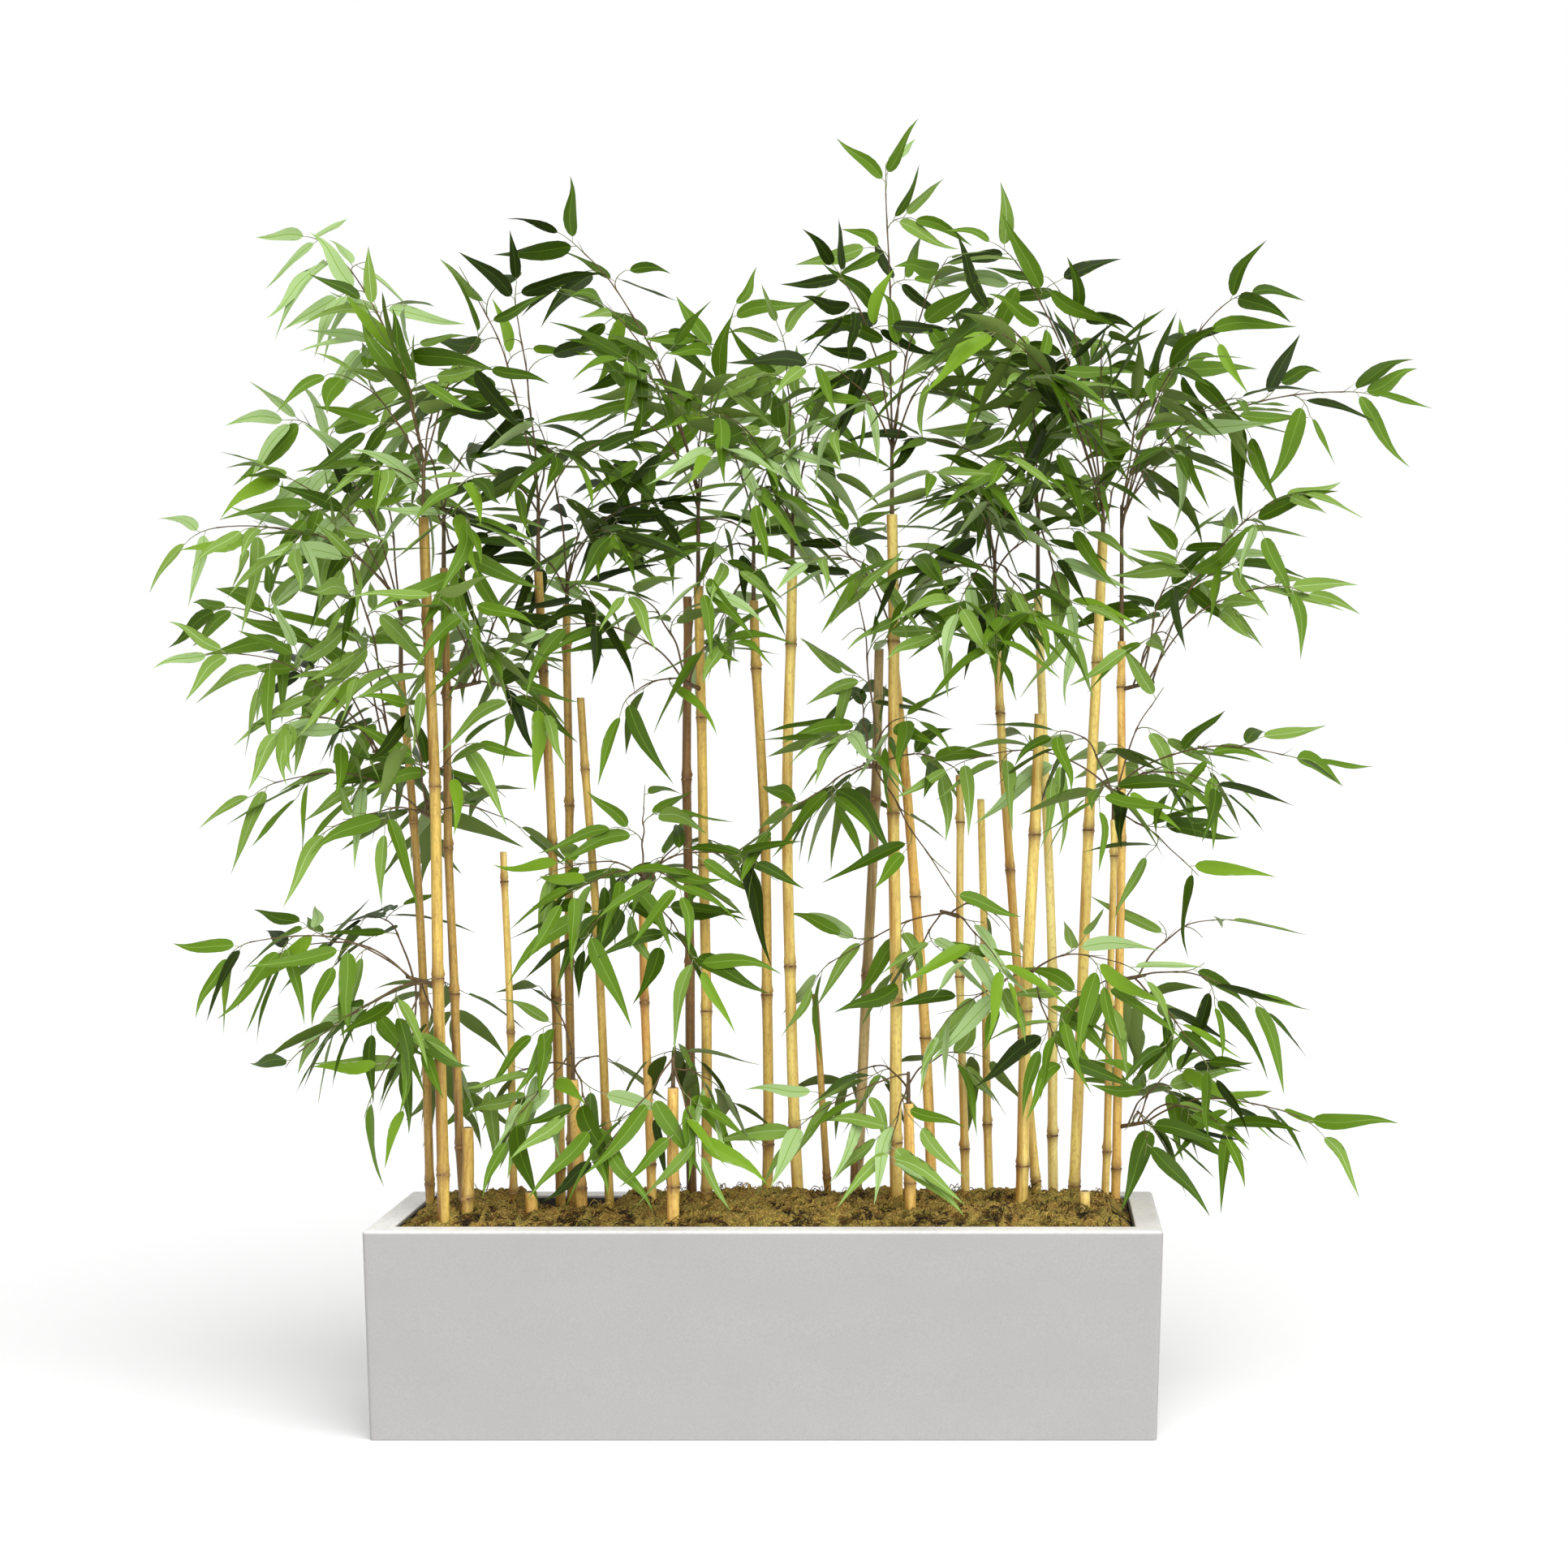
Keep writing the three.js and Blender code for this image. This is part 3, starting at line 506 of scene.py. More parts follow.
def make_moss_finish():
    material, shader = new_finish("dried_moss", (104, 84, 42), 0.95)
    tree = material.node_tree
    beds = use_effect(material, soft_patches, Size=30, Contrast=4)
    fibres = use_effect(material, soft_patches, Size=2.2, Contrast=4)
    unshaded_share = place_node(tree, "ShaderNodeAttribute", attribute_name="moss_unshaded_share")
    crest = blend_colours(tree, beds.outputs["Mask"], (127, 80, 25), (116, 114, 40))
    frosted = blend_colours(tree, fibres.outputs["Mask"], crest, (196, 166, 78))
    # Painted shade: the gaps between the clumps are coloured near black, and over the crests the colour
    # rises to the fibres' own.
    gap_shaded = blend_colours(tree, unshaded_share.outputs["Fac"], (26, 17, 6), frosted)
    tree.links.new(gap_shaded, shader.inputs["Base Color"])
    raise_relief(material, shader, fibres.outputs["Mask"], 1.4)
    return material


def make_moss_mat():
    columns = round(2 * MOSS_HALF_LENGTH / MOSS_CELL)
    rows = round(2 * MOSS_HALF_DEPTH / MOSS_CELL)
    xs = np.linspace(-MOSS_HALF_LENGTH, MOSS_HALF_LENGTH, columns + 1)
    ys = np.linspace(-MOSS_HALF_DEPTH, MOSS_HALF_DEPTH, rows + 1)
    points = []
    unshaded_share = []
    for y in ys:
        for x in xs:
            clump = moss_clumps(x, y)
            keep = CLUMPS_AT_RIM + (1 - CLUMPS_AT_RIM) * moss_shoulder(x, y)
            level = moss_level(x, y) - moss_hollow(x, y) - CLUMPS_SUNK
            points.append((x, y, level + keep * clump))
            unshaded_share.append(min(max(clump / CREST_HEIGHT - CREST_START, 0), 1))
    faces = []
    for row in range(rows):
        for column in range(columns):
            i = row * (columns + 1) + column
            faces.append((i, i + 1, i + columns + 2, i + columns + 1))
    across = columns + 1
    front = list(range(across))
    right = [row * across + columns for row in range(1, rows + 1)]
    back = [rows * across + column for column in range(columns - 1, -1, -1)]
    left = [row * across for row in range(rows - 1, 0, -1)]
    edge = front + right + back + left
    first = len(points)
    points += [(points[i][0], points[i][1], TROUGH_HEIGHT - MOSS_DROP - MOSS_SKIRT) for i in edge]
    for i in range(len(edge)):
        j = (i + 1) % len(edge)
        faces.append((edge[j], edge[i], first + i, first + j))
    faces.append(tuple(range(first, first + len(edge)))[::-1])
    unshaded_share += [0] * len(edge)
    marks = {"moss_unshaded_share": unshaded_share}
    piece = add_piece("moss_mat", points, faces, [make_moss_finish()], marks=marks)
    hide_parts("moss_bed")


def tube_rings(lines, radii, sides):
    """Rings round each of many lines of points at once, as lines × points × sides × 3."""
    onward = np.gradient(lines, axis=1)
    onward /= np.linalg.norm(onward, axis=2, keepdims=True)
    first = np.cross(onward, OFF_EVERY_LINE)
    first /= np.linalg.norm(first, axis=2, keepdims=True)
    second = np.cross(onward, first)
    turns = np.arange(sides) * 2 * math.pi / sides
    ring = first[:, :, None] * np.cos(turns)[:, None] + second[:, :, None] * np.sin(turns)[:, None]
    return lines[:, :, None] + ring * radii[:, :, None, None]


def tube_faces(count, sides):
    """The faces of one tube of so many rings, with both its ends closed."""
    faces = [tuple(range(sides))[::-1]]
    for ring in range(count - 1):
        for i in range(sides):
            j = (i + 1) % sides
            low = ring * sides
            faces.append((low + i, low + j, low + sides + j, low + sides + i))
    faces.append(tuple(range((count - 1) * sides, count * sides)))
    return faces


def make_strand_finishes():
    finishes = []
    for number, colour in enumerate(STRAND_COLOURS):
        finish, shader = new_finish(f"moss_strand_{number + 1}", colour, 0.9)
        rough = use_effect(finish, soft_patches, Size=1.5, Contrast=2)
        raise_relief(finish, shader, rough.outputs["Mask"], 0.2)
        finishes.append(finish)
    return finishes


def make_moss_strands(name, kind, finishes):
    """Curling strands in tufts, each tuft of nearly one colour."""
    chance = np.random.default_rng(kind["seed"])
    each = kind["each"]
    steps = kind["steps"]
    tuft_x = chance.uniform(-MOSS_HALF_LENGTH, MOSS_HALF_LENGTH, kind["tufts"])
    tuft_y = chance.uniform(-MOSS_HALF_DEPTH, MOSS_HALF_DEPTH, kind["tufts"])
    proud = np.where(chance.uniform(0, 1, kind["tufts"]) < PROUD_SHARE, PROUD_LIFT, 1)
    count = kind["tufts"] * each
    x = np.repeat(tuft_x, each) + chance.uniform(-1, 1, count) * kind["spread"]
    y = np.repeat(tuft_y, each) + chance.uniform(-1, 1, count) * kind["spread"]
    step = chance.uniform(*kind["length"], count) / steps
    heading = chance.uniform(0, 2 * math.pi, count)
    lift = chance.uniform(*kind["lift"], count) * np.repeat(proud, each)
    lines = np.zeros((count, steps + 1, 3))
    for i in range(steps + 1):
        x = np.clip(x, -MOSS_HALF_LENGTH, MOSS_HALF_LENGTH)
        y = np.clip(y, -MOSS_HALF_DEPTH, MOSS_HALF_DEPTH)
        arc = math.sin(math.pi * (i + 1) / (steps + STRAND_ARC_OVER))
        risen = lift * moss_shoulder(x, y) ** 0.5 * arc
        level = moss_level(x, y) - moss_hollow(x, y)
        lines[:, i] = np.stack([x, y, level + STRAND_REST + risen], axis=1)
        x = x + step * np.cos(heading)
        y = y + step * np.sin(heading)
        heading = heading + chance.uniform(-STRAND_CURL, STRAND_CURL, count)
    thick = chance.uniform(*kind["radius"], count)
    taper = np.sin(np.linspace(*STRAND_ENDS, steps + 1))
    rings = tube_rings(lines, thick[:, None] * taper, 3)
    one = tube_faces(steps + 1, 3)
    points_each = (steps + 1) * 3
    faces = [tuple(i + k * points_each for i in face) for k in range(count) for face in one]
    places = np.stack([tuft_x, tuft_y], axis=1) / MOSS_TONE_SIZE
    tones = [noise.noise(Vector((*place, 4))) for place in places]
    tones = np.repeat(tones, each) * TONE_SPREAD + chance.uniform(*STRAND_TONE_SPREAD, count)
    pick = np.clip(((tones + 1) / 2 * len(finishes)).astype(int), 0, len(finishes) - 1)
    looks = np.repeat(pick, len(one))
    piece = add_piece(name, rings.reshape(-1, 3), faces, finishes, looks)


make_moss_mat()
strand_finishes = make_strand_finishes()
make_moss_strands("moss_strands", LONG_STRANDS, strand_finishes)
make_moss_strands("moss_fuzz", FINE_STRANDS, strand_finishes)


# The canes: real bamboo canes, dried and lightly varnished, each pushed down through the moss into
# the foam and sawn off square at the top. At every joint there is a raised sheath scar with a soft
# ridge over it, and on one side the cut stub of a twig. They run from straw to dark brown.
FOOT_LEVEL = 215
CANE_TAPER = 0.84
FIRST_JOINT = (55, 150)
JOINT_SPACING = (185, 250)
CANE_WANDER = 5
CANE_SIDES = 18
CANE_STEP = 15  # from ring to ring along a plain length
RING_CLEARANCE = 3  # between the last plain ring and a joint or the sawn top
JOINT_TO_TOP = 30  # no joint is nearer to the sawn top
CUT_STAIN = 0.25
ANY_PHASE = (0, 6)  # radians, nearly a whole turn
# Over and under a joint: how high, how far the wall stands out there, and how stained it is.
JOINT_SHAPE = (
    (-18, 0.0, 0.0), (-9, 0.25, 0.25), (-4, 0.7, 0.7), (-1.2, 1.3, 1.0), (0, 1.45, 1.0),
    (1.1, 0.55, 1.0), (2.6, 0.6, 0.8), (5, 1.15, 0.55), (8, 0.75, 0.35), (13, 0.2, 0.15),
    (20, 0.0, 0.0),
)
JOINT_RING = (3, 5)  # the steps of that shape that are the dark scar itself
STUB_HEIGHT = 5.5
STUB_STANDS = 2.2
JOINT_KINK = 1.3  # a cane steps to and fro by this from joint to joint
GROOVE_DEPTH = 0.5  # over the stub of a twig the cane is grooved as far as the next joint
GROOVE_HALF_ANGLE = 0.45
STUB_HALF_HEIGHT = 3.2
STUB_HALF_ANGLE = 0.42
CUT_BEVEL = 0.5
CANE_WALL = 0.34  # of the radius
CUT_SINK = 3.5
PAINTED_LIT_SIDE = (-0.6, 0.8)  # the middle and the spread of the way that a cane's painted lit side faces
LIT_SIDE_SWAY = 0.5  # how far that side wanders round the cane on its way up
LIT_SIDE_SWAY_HEIGHT = 90
OVAL = (0.006, 0.022)
STUB_STRAY = (-0.3, 0.3)
STUB_SIZE = (0.4, 1)
GROOVE_MARGIN = 12  # from a groove's end to the joint
# Each look's light tone and dark tone. Besides streaks and blotches, a cane blends between them as
# painted light on its side towards the key light and painted shade on the far side.
CANE_LOOKS = {
    "straw": ((250, 226, 126), (178, 126, 46)),
    "pale_straw": ((252, 236, 148), (192, 148, 62)),
    "orange_straw": ((255, 214, 114), (178, 114, 38)),
    "tan": ((222, 188, 92), (136, 96, 34)),
    "brown": ((196, 158, 74), (106, 74, 27)),
    "dark_brown": ((146, 106, 52), (68, 44, 18)),
    "grey_brown": ((208, 184, 122), (130, 104, 58)),
}
JOINT_COLOUR = (104, 70, 34)
# How much each thing lightens a cane, from its dark tone to its light one. The sun entry is
# painted light on the side that faces the key light, and painted shade on the far side.
CANE_TONE = {"streaks": 0.42, "blotches": 0.5, "sun": 0.72, "all_over": -0.36}
# One row a cane, as on the part's drawing, with its look.
CANES = [
    {"foot": (-443, 0), "top": (-487, 20, 955), "thick": 12, "bow": 8, "look": "brown"},
    {"foot": (-408, -95), "top": (-441, -60, 1159), "thick": 15.5, "bow": 4, "look": "tan"},
    {"foot": (-387, -50), "top": (-427, 0, 1097), "thick": 12, "bow": -6, "look": "brown"},
    {"foot": (-336, 10), "top": (-355, 30, 727), "thick": 10.5, "bow": 2, "look": "straw"},
    {"foot": (-282, 45), "top": (-311, 40, 1094), "thick": 13.5, "bow": 6, "look": "tan"},
    {"foot": (-274, 85), "top": (-281, 90, 1053), "thick": 12.5, "bow": 0, "look": "brown"},
    {"foot": (-212, 20), "top": (-257, 50, 929), "thick": 12, "bow": 4, "look": "tan"},
    {"foot": (-241, -20), "top": (-255, -30, 437), "thick": 16.5, "bow": 0, "look": "orange_straw"},
    {"foot": (-156, 0), "top": (-169, 0, 665), "thick": 12.5, "bow": 0, "look": "orange_straw"},
    {"foot": (-112, 75), "top": (-120, 80, 1063), "thick": 13.5, "bow": -2, "look": "dark_brown"},
    {"foot": (-88, 25), "top": (-100, 30, 1075), "thick": 14.5, "bow": 3, "look": "tan"},
    {"foot": (-119, -95), "top": (-118, -95, 435), "thick": 16.5, "bow": 0, "look": "orange_straw"},
    {"foot": (-16, 85), "top": (-32, 80, 1058), "thick": 14.5, "bow": 9, "look": "tan"},
    {"foot": (32, 55), "top": (21, 60, 1100), "thick": 15.5, "bow": -11, "look": "straw"},
    {"foot": (71, 75), "top": (50, 70, 537), "thick": 10, "bow": 0, "look": "brown"},
    {"foot": (99, 100), "top": (134, 90, 994), "thick": 14.5, "bow": 4, "look": "grey_brown"},
    {"foot": (161, 20), "top": (154, 20, 1168), "thick": 16.5, "bow": 0, "look": "straw"},
    {"foot": (208, 60), "top": (152, 56, 1004), "thick": 14.5, "bow": 8, "look": "orange_straw"},
    {"foot": (181, -50), "top": (178, -50, 409), "thick": 15.5, "bow": 0, "look": "orange_straw"},
    {"foot": (250, 60), "top": (241, 60, 827), "thick": 11.5, "bow": -2, "look": "pale_straw"},
    {"foot": (282, 95), "top": (269, 95, 794), "thick": 11.5, "bow": 0, "look": "straw"},
    {"foot": (349, 55), "top": (288, 45, 1041), "thick": 13, "bow": -5, "look": "straw"},
    {"foot": (321, 8), "top": (347, 0, 908), "thick": 16.5, "bow": -3, "look": "straw"},
    {"foot": (366, 92), "top": (345, 85, 1064), "thick": 13.5, "bow": 6, "look": "pale_straw"},
    {"foot": (392, 100), "top": (431, 70, 1144), "thick": 15.5, "bow": -2, "look": "straw"},
    {"foot": (446, 72), "top": (456, 80, 1004), "thick": 12.5, "bow": 3, "look": "orange_straw"},
    {"foot": (430, 42), "top": (444, 40, 769), "thick": 10.5, "bow": 2, "look": "straw"},
    {"foot": (404, -52), "top": (404, -52, 297), "thick": 15.5, "bow": 0, "look": "straw"},
]
CANE_SEED = 500
OFFCUT_SEED = 560
# Short offcuts that wedge the canes in the foam, which the drawing leaves out.
OFFCUTS = [
    {"foot": (-383, -70), "top": (-383, -70, 381), "thick": 17.5, "bow": 0, "look": "tan"},
    {"foot": (-303, -58), "top": (-304, -58, 297), "thick": 18, "bow": 0, "look": "orange_straw"},
    {"foot": (101, 60), "top": (103, 60, 329), "thick": 12, "bow": 0, "look": "dark_brown"},
]


def seeded(seed):
    """A repeatable run of numbers, by the drawing's own rule: each call gives one in a range."""
    state = (seed * 7919 + 12345) % 2**32

    def draw(span):
        nonlocal state
        state = (state * 1664525 + 1013904223) % 2**32
        return span[0] + (span[1] - span[0]) * state / 2**32

    return draw


def grown_cane(row, index):
    draw = seeded(index + 1)
    cane = {**row, "wander": draw((-CANE_WANDER, CANE_WANDER)), "joints": []}
    joint = FOOT_LEVEL + draw(FIRST_JOINT)
    while joint < cane["top"][2] - JOINT_TO_TOP:
        cane["joints"].append(joint)
        joint += draw(JOINT_SPACING)
    return cane


def cane_axis(cane, height):
    """The middle of a cane at a height, or at each of several heights."""
    foot_x, foot_y = cane["foot"]
    top_x, top_y, top_z = cane["top"]
    along = np.clip((np.asarray(height, dtype=float) - FOOT_LEVEL) / (top_z - FOOT_LEVEL), 0, 1)
    x = foot_x + (top_x - foot_x) * along + cane["bow"] * np.sin(math.pi * along)
    y = foot_y + (top_y - foot_y) * along + cane["wander"] * np.sin(2 * math.pi * along)
    return np.stack([x, y, np.broadcast_to(height, x.shape)], axis=-1)


def cane_radius(cane, height):
    along = (height - FOOT_LEVEL) / (cane["top"][2] - FOOT_LEVEL)
    return cane["thick"] / 2 * (1 - (1 - CANE_TAPER) * along)


def make_grain_effect():
    """Fibres that run up a cane or a wire: fine ones as a height, wide ones as a streak mask."""
    effect, start, end = new_effect("upright_grain", {"Width": 1, "Length": 60}, ["Height", "Streak"])
    for label, widening in (("Height", 1), ("Streak", 4)):
        wide = calculate(effect, "MULTIPLY", start.outputs["Width"], widening * MM)
        level = calculate(effect, "DIVIDE", 1, wide)
        upright = calculate(effect, "DIVIDE", 1 / MM, start.outputs["Length"])
        effect.links.new(stretched_noise(effect, level, upright, 3, 2.4), end.inputs[label])
    return effect


upright_grain = make_grain_effect()


def make_cane_finish(name, light, dark):
    """Varnished cane: painted paler on the side that faces the key light and darker, as painted
    shade, on the far side, streaked and blotched with a darker tone, and stained round every joint."""
    material, shader = new_finish(f"cane_{name}", light, 0.4)
    tree = material.node_tree
    grain = use_effect(material, upright_grain, Width=0.7, Length=110)
    blotches = use_effect(material, soft_patches, Size=15, Stretch=6, Contrast=3.2)
    specks = use_effect(material, soft_patches, Size=3.5, Stretch=2, Contrast=6)
    dust_and_top_light_mask = use_effect(material, dust_and_top_light, Amount=0.6)
    stain = place_node(tree, "ShaderNodeAttribute", attribute_name="joint_stain")
    painted_light_node = place_node(tree, "ShaderNodeAttribute", attribute_name="painted_light_side")
    streak = grain.outputs["Streak"]
    tone = calculate(tree, "MULTIPLY_ADD", streak, CANE_TONE["streaks"], CANE_TONE["all_over"])
    tone = calculate(tree, "MULTIPLY_ADD", blotches.outputs["Mask"], CANE_TONE["blotches"], tone)
    tone = calculate(tree, "MULTIPLY_ADD", painted_light_node.outputs["Fac"], CANE_TONE["sun"], tone, clamp=True)
    streaked = blend_colours(tree, tone, dark, light)
    fleck = calculate(tree, "SUBTRACT", specks.outputs["Mask"], 0.72, clamp=True)
    flecked = blend_colours(tree, fleck, streaked, dark)
    patchy = calculate(tree, "MULTIPLY_ADD", blotches.outputs["Mask"], -0.5, 0.9)
    stain_mask = calculate(tree, "MULTIPLY", stain.outputs["Fac"], patchy, clamp=True)
    stained = blend_colours(tree, stain_mask, flecked, JOINT_COLOUR)
    dusted_and_top_lit = blend_colours(tree, dust_and_top_light_mask.outputs["Mask"], stained, (222, 208, 176))
    tree.links.new(dusted_and_top_lit, shader.inputs["Base Color"])
    tree.links.new(between(tree, streak, 0.48, 0.32), shader.inputs["Roughness"])
    raise_relief(material, shader, grain.outputs["Height"], 0.16)
    return material


def make_joint_finish():
    """The scar of the sheath: dark brown, and in places worn down to the cane."""
    material, shader = new_finish("cane_joint_scar", JOINT_COLOUR, 0.7)
    tree = material.node_tree
    grain = use_effect(material, upright_grain, Width=0.5, Length=3)
    wear = use_effect(material, soft_patches, Size=7, Contrast=4)
    scar = blend_colours(tree, grain.outputs["Streak"], (66, 42, 20), (120, 84, 44))
    wear_mask = calculate(tree, "MULTIPLY", wear.outputs["Mask"], 0.7)
    worn = blend_colours(tree, wear_mask, scar, (188, 148, 84))
    tree.links.new(worn, shader.inputs["Base Color"])
    raise_relief(material, shader, grain.outputs["Height"], 0.3)
    return material


def make_cut_finish():
    """The sawn end: pale wood dotted with the dark ends of its fibres."""
    material, shader = new_finish("cane_sawn_end", (206, 178, 126), 0.85)
    tree = material.node_tree
    pores = use_effect(material, soft_patches, Size=0.8, Contrast=5)
    colour = blend_colours(tree, pores.outputs["Mask"], (122, 88, 50), (214, 188, 138))
    tree.links.new(colour, shader.inputs["Base Color"])
    raise_relief(material, shader, pores.outputs["Mask"], 0.2)
    return material


def cane_sections(cane):
    """Rows up a cane: height, how far the wall stands out, stain, and whether it is in the scar."""
    top = cane["top"][2]
    rows = []
    for joint in cane["joints"]:
        for number, (over, stands, stain) in enumerate(JOINT_SHAPE):
            in_scar = JOINT_RING[0] <= number < JOINT_RING[1]
            if joint + over < top - RING_CLEARANCE:
                rows.append((joint + over, stands, stain, in_scar))
    plain = np.arange(FOOT_LEVEL, top - 2 * RING_CLEARANCE, CANE_STEP)
    reach = JOINT_SHAPE[-1][0] + RING_CLEARANCE
    for height in plain:
        if all(abs(height - joint) > reach for joint in cane["joints"]):
            rows.append((height, 0.0, 0.0, False))
    return sorted(rows)


def make_cane(cane, name, draw, finishes):
    """A cane as one tube of rings, with its joints, stubs and grooves, and its hollow sawn end."""
    turns = np.arange(CANE_SIDES) * 2 * math.pi / CANE_SIDES
    rows = cane_sections(cane)
    heights = np.array([row[0] for row in rows])
    stands = np.array([row[1] for row in rows])
    stains = [row[2] for row in rows]
    oval = draw(OVAL)
    oval_turn = draw((0, math.pi))
    radius = (cane_radius(cane, heights) + stands)[:, None]
    radius = radius * (1 + oval * np.cos(2 * (turns - oval_turn)))
    top = cane["top"][2]
    for number, joint in enumerate(cane["joints"]):
        stub_turn = oval_turn + math.pi * number + draw(STUB_STRAY)
        away = np.angle(np.exp(1j * (turns - stub_turn)))
        over = heights[:, None] - joint - STUB_HEIGHT
        mound = np.exp(-((over / STUB_HALF_HEIGHT) ** 2) - (away / STUB_HALF_ANGLE) ** 2)
        radius = radius + draw(STUB_SIZE) * STUB_STANDS * mound
        following = cane["joints"][number + 1] if number + 1 < len(cane["joints"]) else top
        groove_length = following - joint - 2 * GROOVE_MARGIN
        share = np.clip((heights[:, None] - joint - GROOVE_MARGIN) / groove_length, 0, 1)
        groove = np.sin(math.pi * share) ** 0.5 * np.exp(-((away / GROOVE_HALF_ANGLE) ** 2))
        radius = radius - GROOVE_DEPTH * groove
    end_radius = cane_radius(cane, top)
    rim = [(top - CUT_BEVEL, end_radius), (top, end_radius - CUT_BEVEL)]
    rim.append((top, end_radius * (1 - CANE_WALL)))
    rim.append((top - CUT_SINK, end_radius * (1 - CANE_WALL) - CUT_BEVEL))
    heights = np.append(heights, [height for height, _ in rim])
    rim_radii = np.array([[r] * CANE_SIDES for _, r in rim])
    radius = np.vstack([radius, rim_radii])
    stains += [CUT_STAIN, CUT_STAIN, 0.0, 0.0]
    middle = cane_axis(cane, heights)
    kinks = [JOINT_KINK * (1 if i % 2 else -1) for i in range(len(cane["joints"]))]
    kink = np.interp(heights, [FOOT_LEVEL, *cane["joints"], top], [0, *kinks, 0])
    middle[:, 0] += kink * math.cos(oval_turn)
    middle[:, 1] += kink * math.sin(oval_turn)
    ring = np.stack([np.cos(turns), np.sin(turns), np.zeros(CANE_SIDES)], axis=1)
    points = (middle[:, None] + radius[:, :, None] * ring[None]).reshape(-1, 3)
    faces = tube_faces(len(heights), CANE_SIDES)
    wall = [1 if row[3] else 0 for row in rows]
    wall += [0, 2, 3]
    looks = [0] + [look for look in wall for _ in range(CANE_SIDES)] + [3]
    # Painted light and shade: each cane is paler on the side that faces the key light, at the front
    # right, and darker on the far side.
    lit_side_turn = PAINTED_LIT_SIDE[0] + PAINTED_LIT_SIDE[1] * draw((-1, 1))
    lit_side_turn = lit_side_turn + LIT_SIDE_SWAY * np.sin(heights[:, None] / LIT_SIDE_SWAY_HEIGHT + draw(ANY_PHASE))
    painted_light_share = 0.5 + 0.5 * np.cos(turns - lit_side_turn)
    marks = {"joint_stain": np.repeat(stains, CANE_SIDES), "painted_light_side": painted_light_share.ravel()}
    piece = add_piece(name, points, faces, finishes, looks, marks=marks)
    piece.data.set_sharp_from_angle(angle=math.radians(55))
    return piece


canes = [grown_cane(row, index) for index, row in enumerate(CANES)]
cane_walls = {name: make_cane_finish(name, *tones) for name, tones in CANE_LOOKS.items()}
joint_scar = make_joint_finish()
sawn_end = make_cut_finish()
# The hollow down in each sawn end: dark brown, painted shade.
hollow_shade, _ = new_finish("cane_hollow_painted_shade", (58, 40, 24), 0.95)
for cane_index, grown in enumerate(canes):
    finishes = [cane_walls[grown["look"]], joint_scar, sawn_end, hollow_shade]
    number = f"{cane_index + 1:02d}"
    cane_piece = make_cane(grown, f"bamboo_cane_{number}", seeded(CANE_SEED + cane_index), finishes)
    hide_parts(f"cane_{number}")
offcuts = [grown_cane(row, len(CANES) + index) for index, row in enumerate(OFFCUTS)]
for offcut_index, grown in enumerate(offcuts):
    finishes = [cane_walls[grown["look"]], joint_scar, sawn_end, hollow_shade]
    make_cane(grown, f"bamboo_offcut_{offcut_index + 1}", seeded(OFFCUT_SEED + offcut_index), finishes)


# The twigs: steel wire wrapped in brown and olive plastic, which stands in a cane's sawn end or in
# a hole in its side. Each main wire forks into long arching sprays, and a spray has short side
# twigs at its nodes, each with a fan of leaves.
STEM_RADIUS = 3.2
STEM_TIP_RADIUS = 2.2
STEM_SUNK = 9  # how deep a stem stands in its cane
STEM_GAP = 0.3  # the drawing's stem starts this far over the sawn top
SIDE_STEM = 46
SIDE_STEM_RISE = 10
FORK_SPACING = 7
FIRST_FORK = 0.4  # the first spray forks off this many spacings down the stem
FIRST_FILLING_FORK = 0.9  # and the first of the finer ones, past the others
ARCH = 0.24
KNEE_RISE = 0.6  # of the spray's own rise
KNEE_ALONG = 0.35
KNEE_ASIDE = 0.7
CLEAR_SAMPLES = 24
CANE_CLEARANCE = 6
SPRAY_CLEARANCE = 9
ASIDE = (0, 16, -16, 32, -32, 48, -48, 64, -64)
WIRE_BENDS = 3
WIRE_RADIUS = 1.4
WIRE_TIP_RADIUS = 0.7
WIRE_STEPS = 22
WIRE_SWAY = 1.5
SWAY_TURNS = (3, 5)
SWAY_LAG = 1.3  # fewer turns up and down than to the sides
STEM_STEPS = 6
STEM_SIDES = 8
WIRE_SIDES = 6
TWIG_SIDES = 5
SPIKE_SIDES = 4
TWIG_REACH = 0.3  # of the reach of its fan
TWIG_REACH_STRAY = (0.85, 1.15)
TWIG_LEAN = 0.6  # how much a twig sets off along its wire, and the rest towards its fan
TWIG_KNEE = 0.55  # of its reach
TWIG_RADIUS = 0.8
TWIG_TIP_RADIUS = 0.45
TWIG_STEPS = 4
NODE_SWELL = 1.45
SPIKE_LENGTH = (14, 30)
SPIKE_SHARE = 0.4
SPIKE_RISE = 0.4
SPIKE_STRAY = (-0.5, 0.5)
SPIKE_RADII = (0.5, 0.4, 0.15)
TWIG_SEED = 900
SPRAY_SEED_STEP = 100
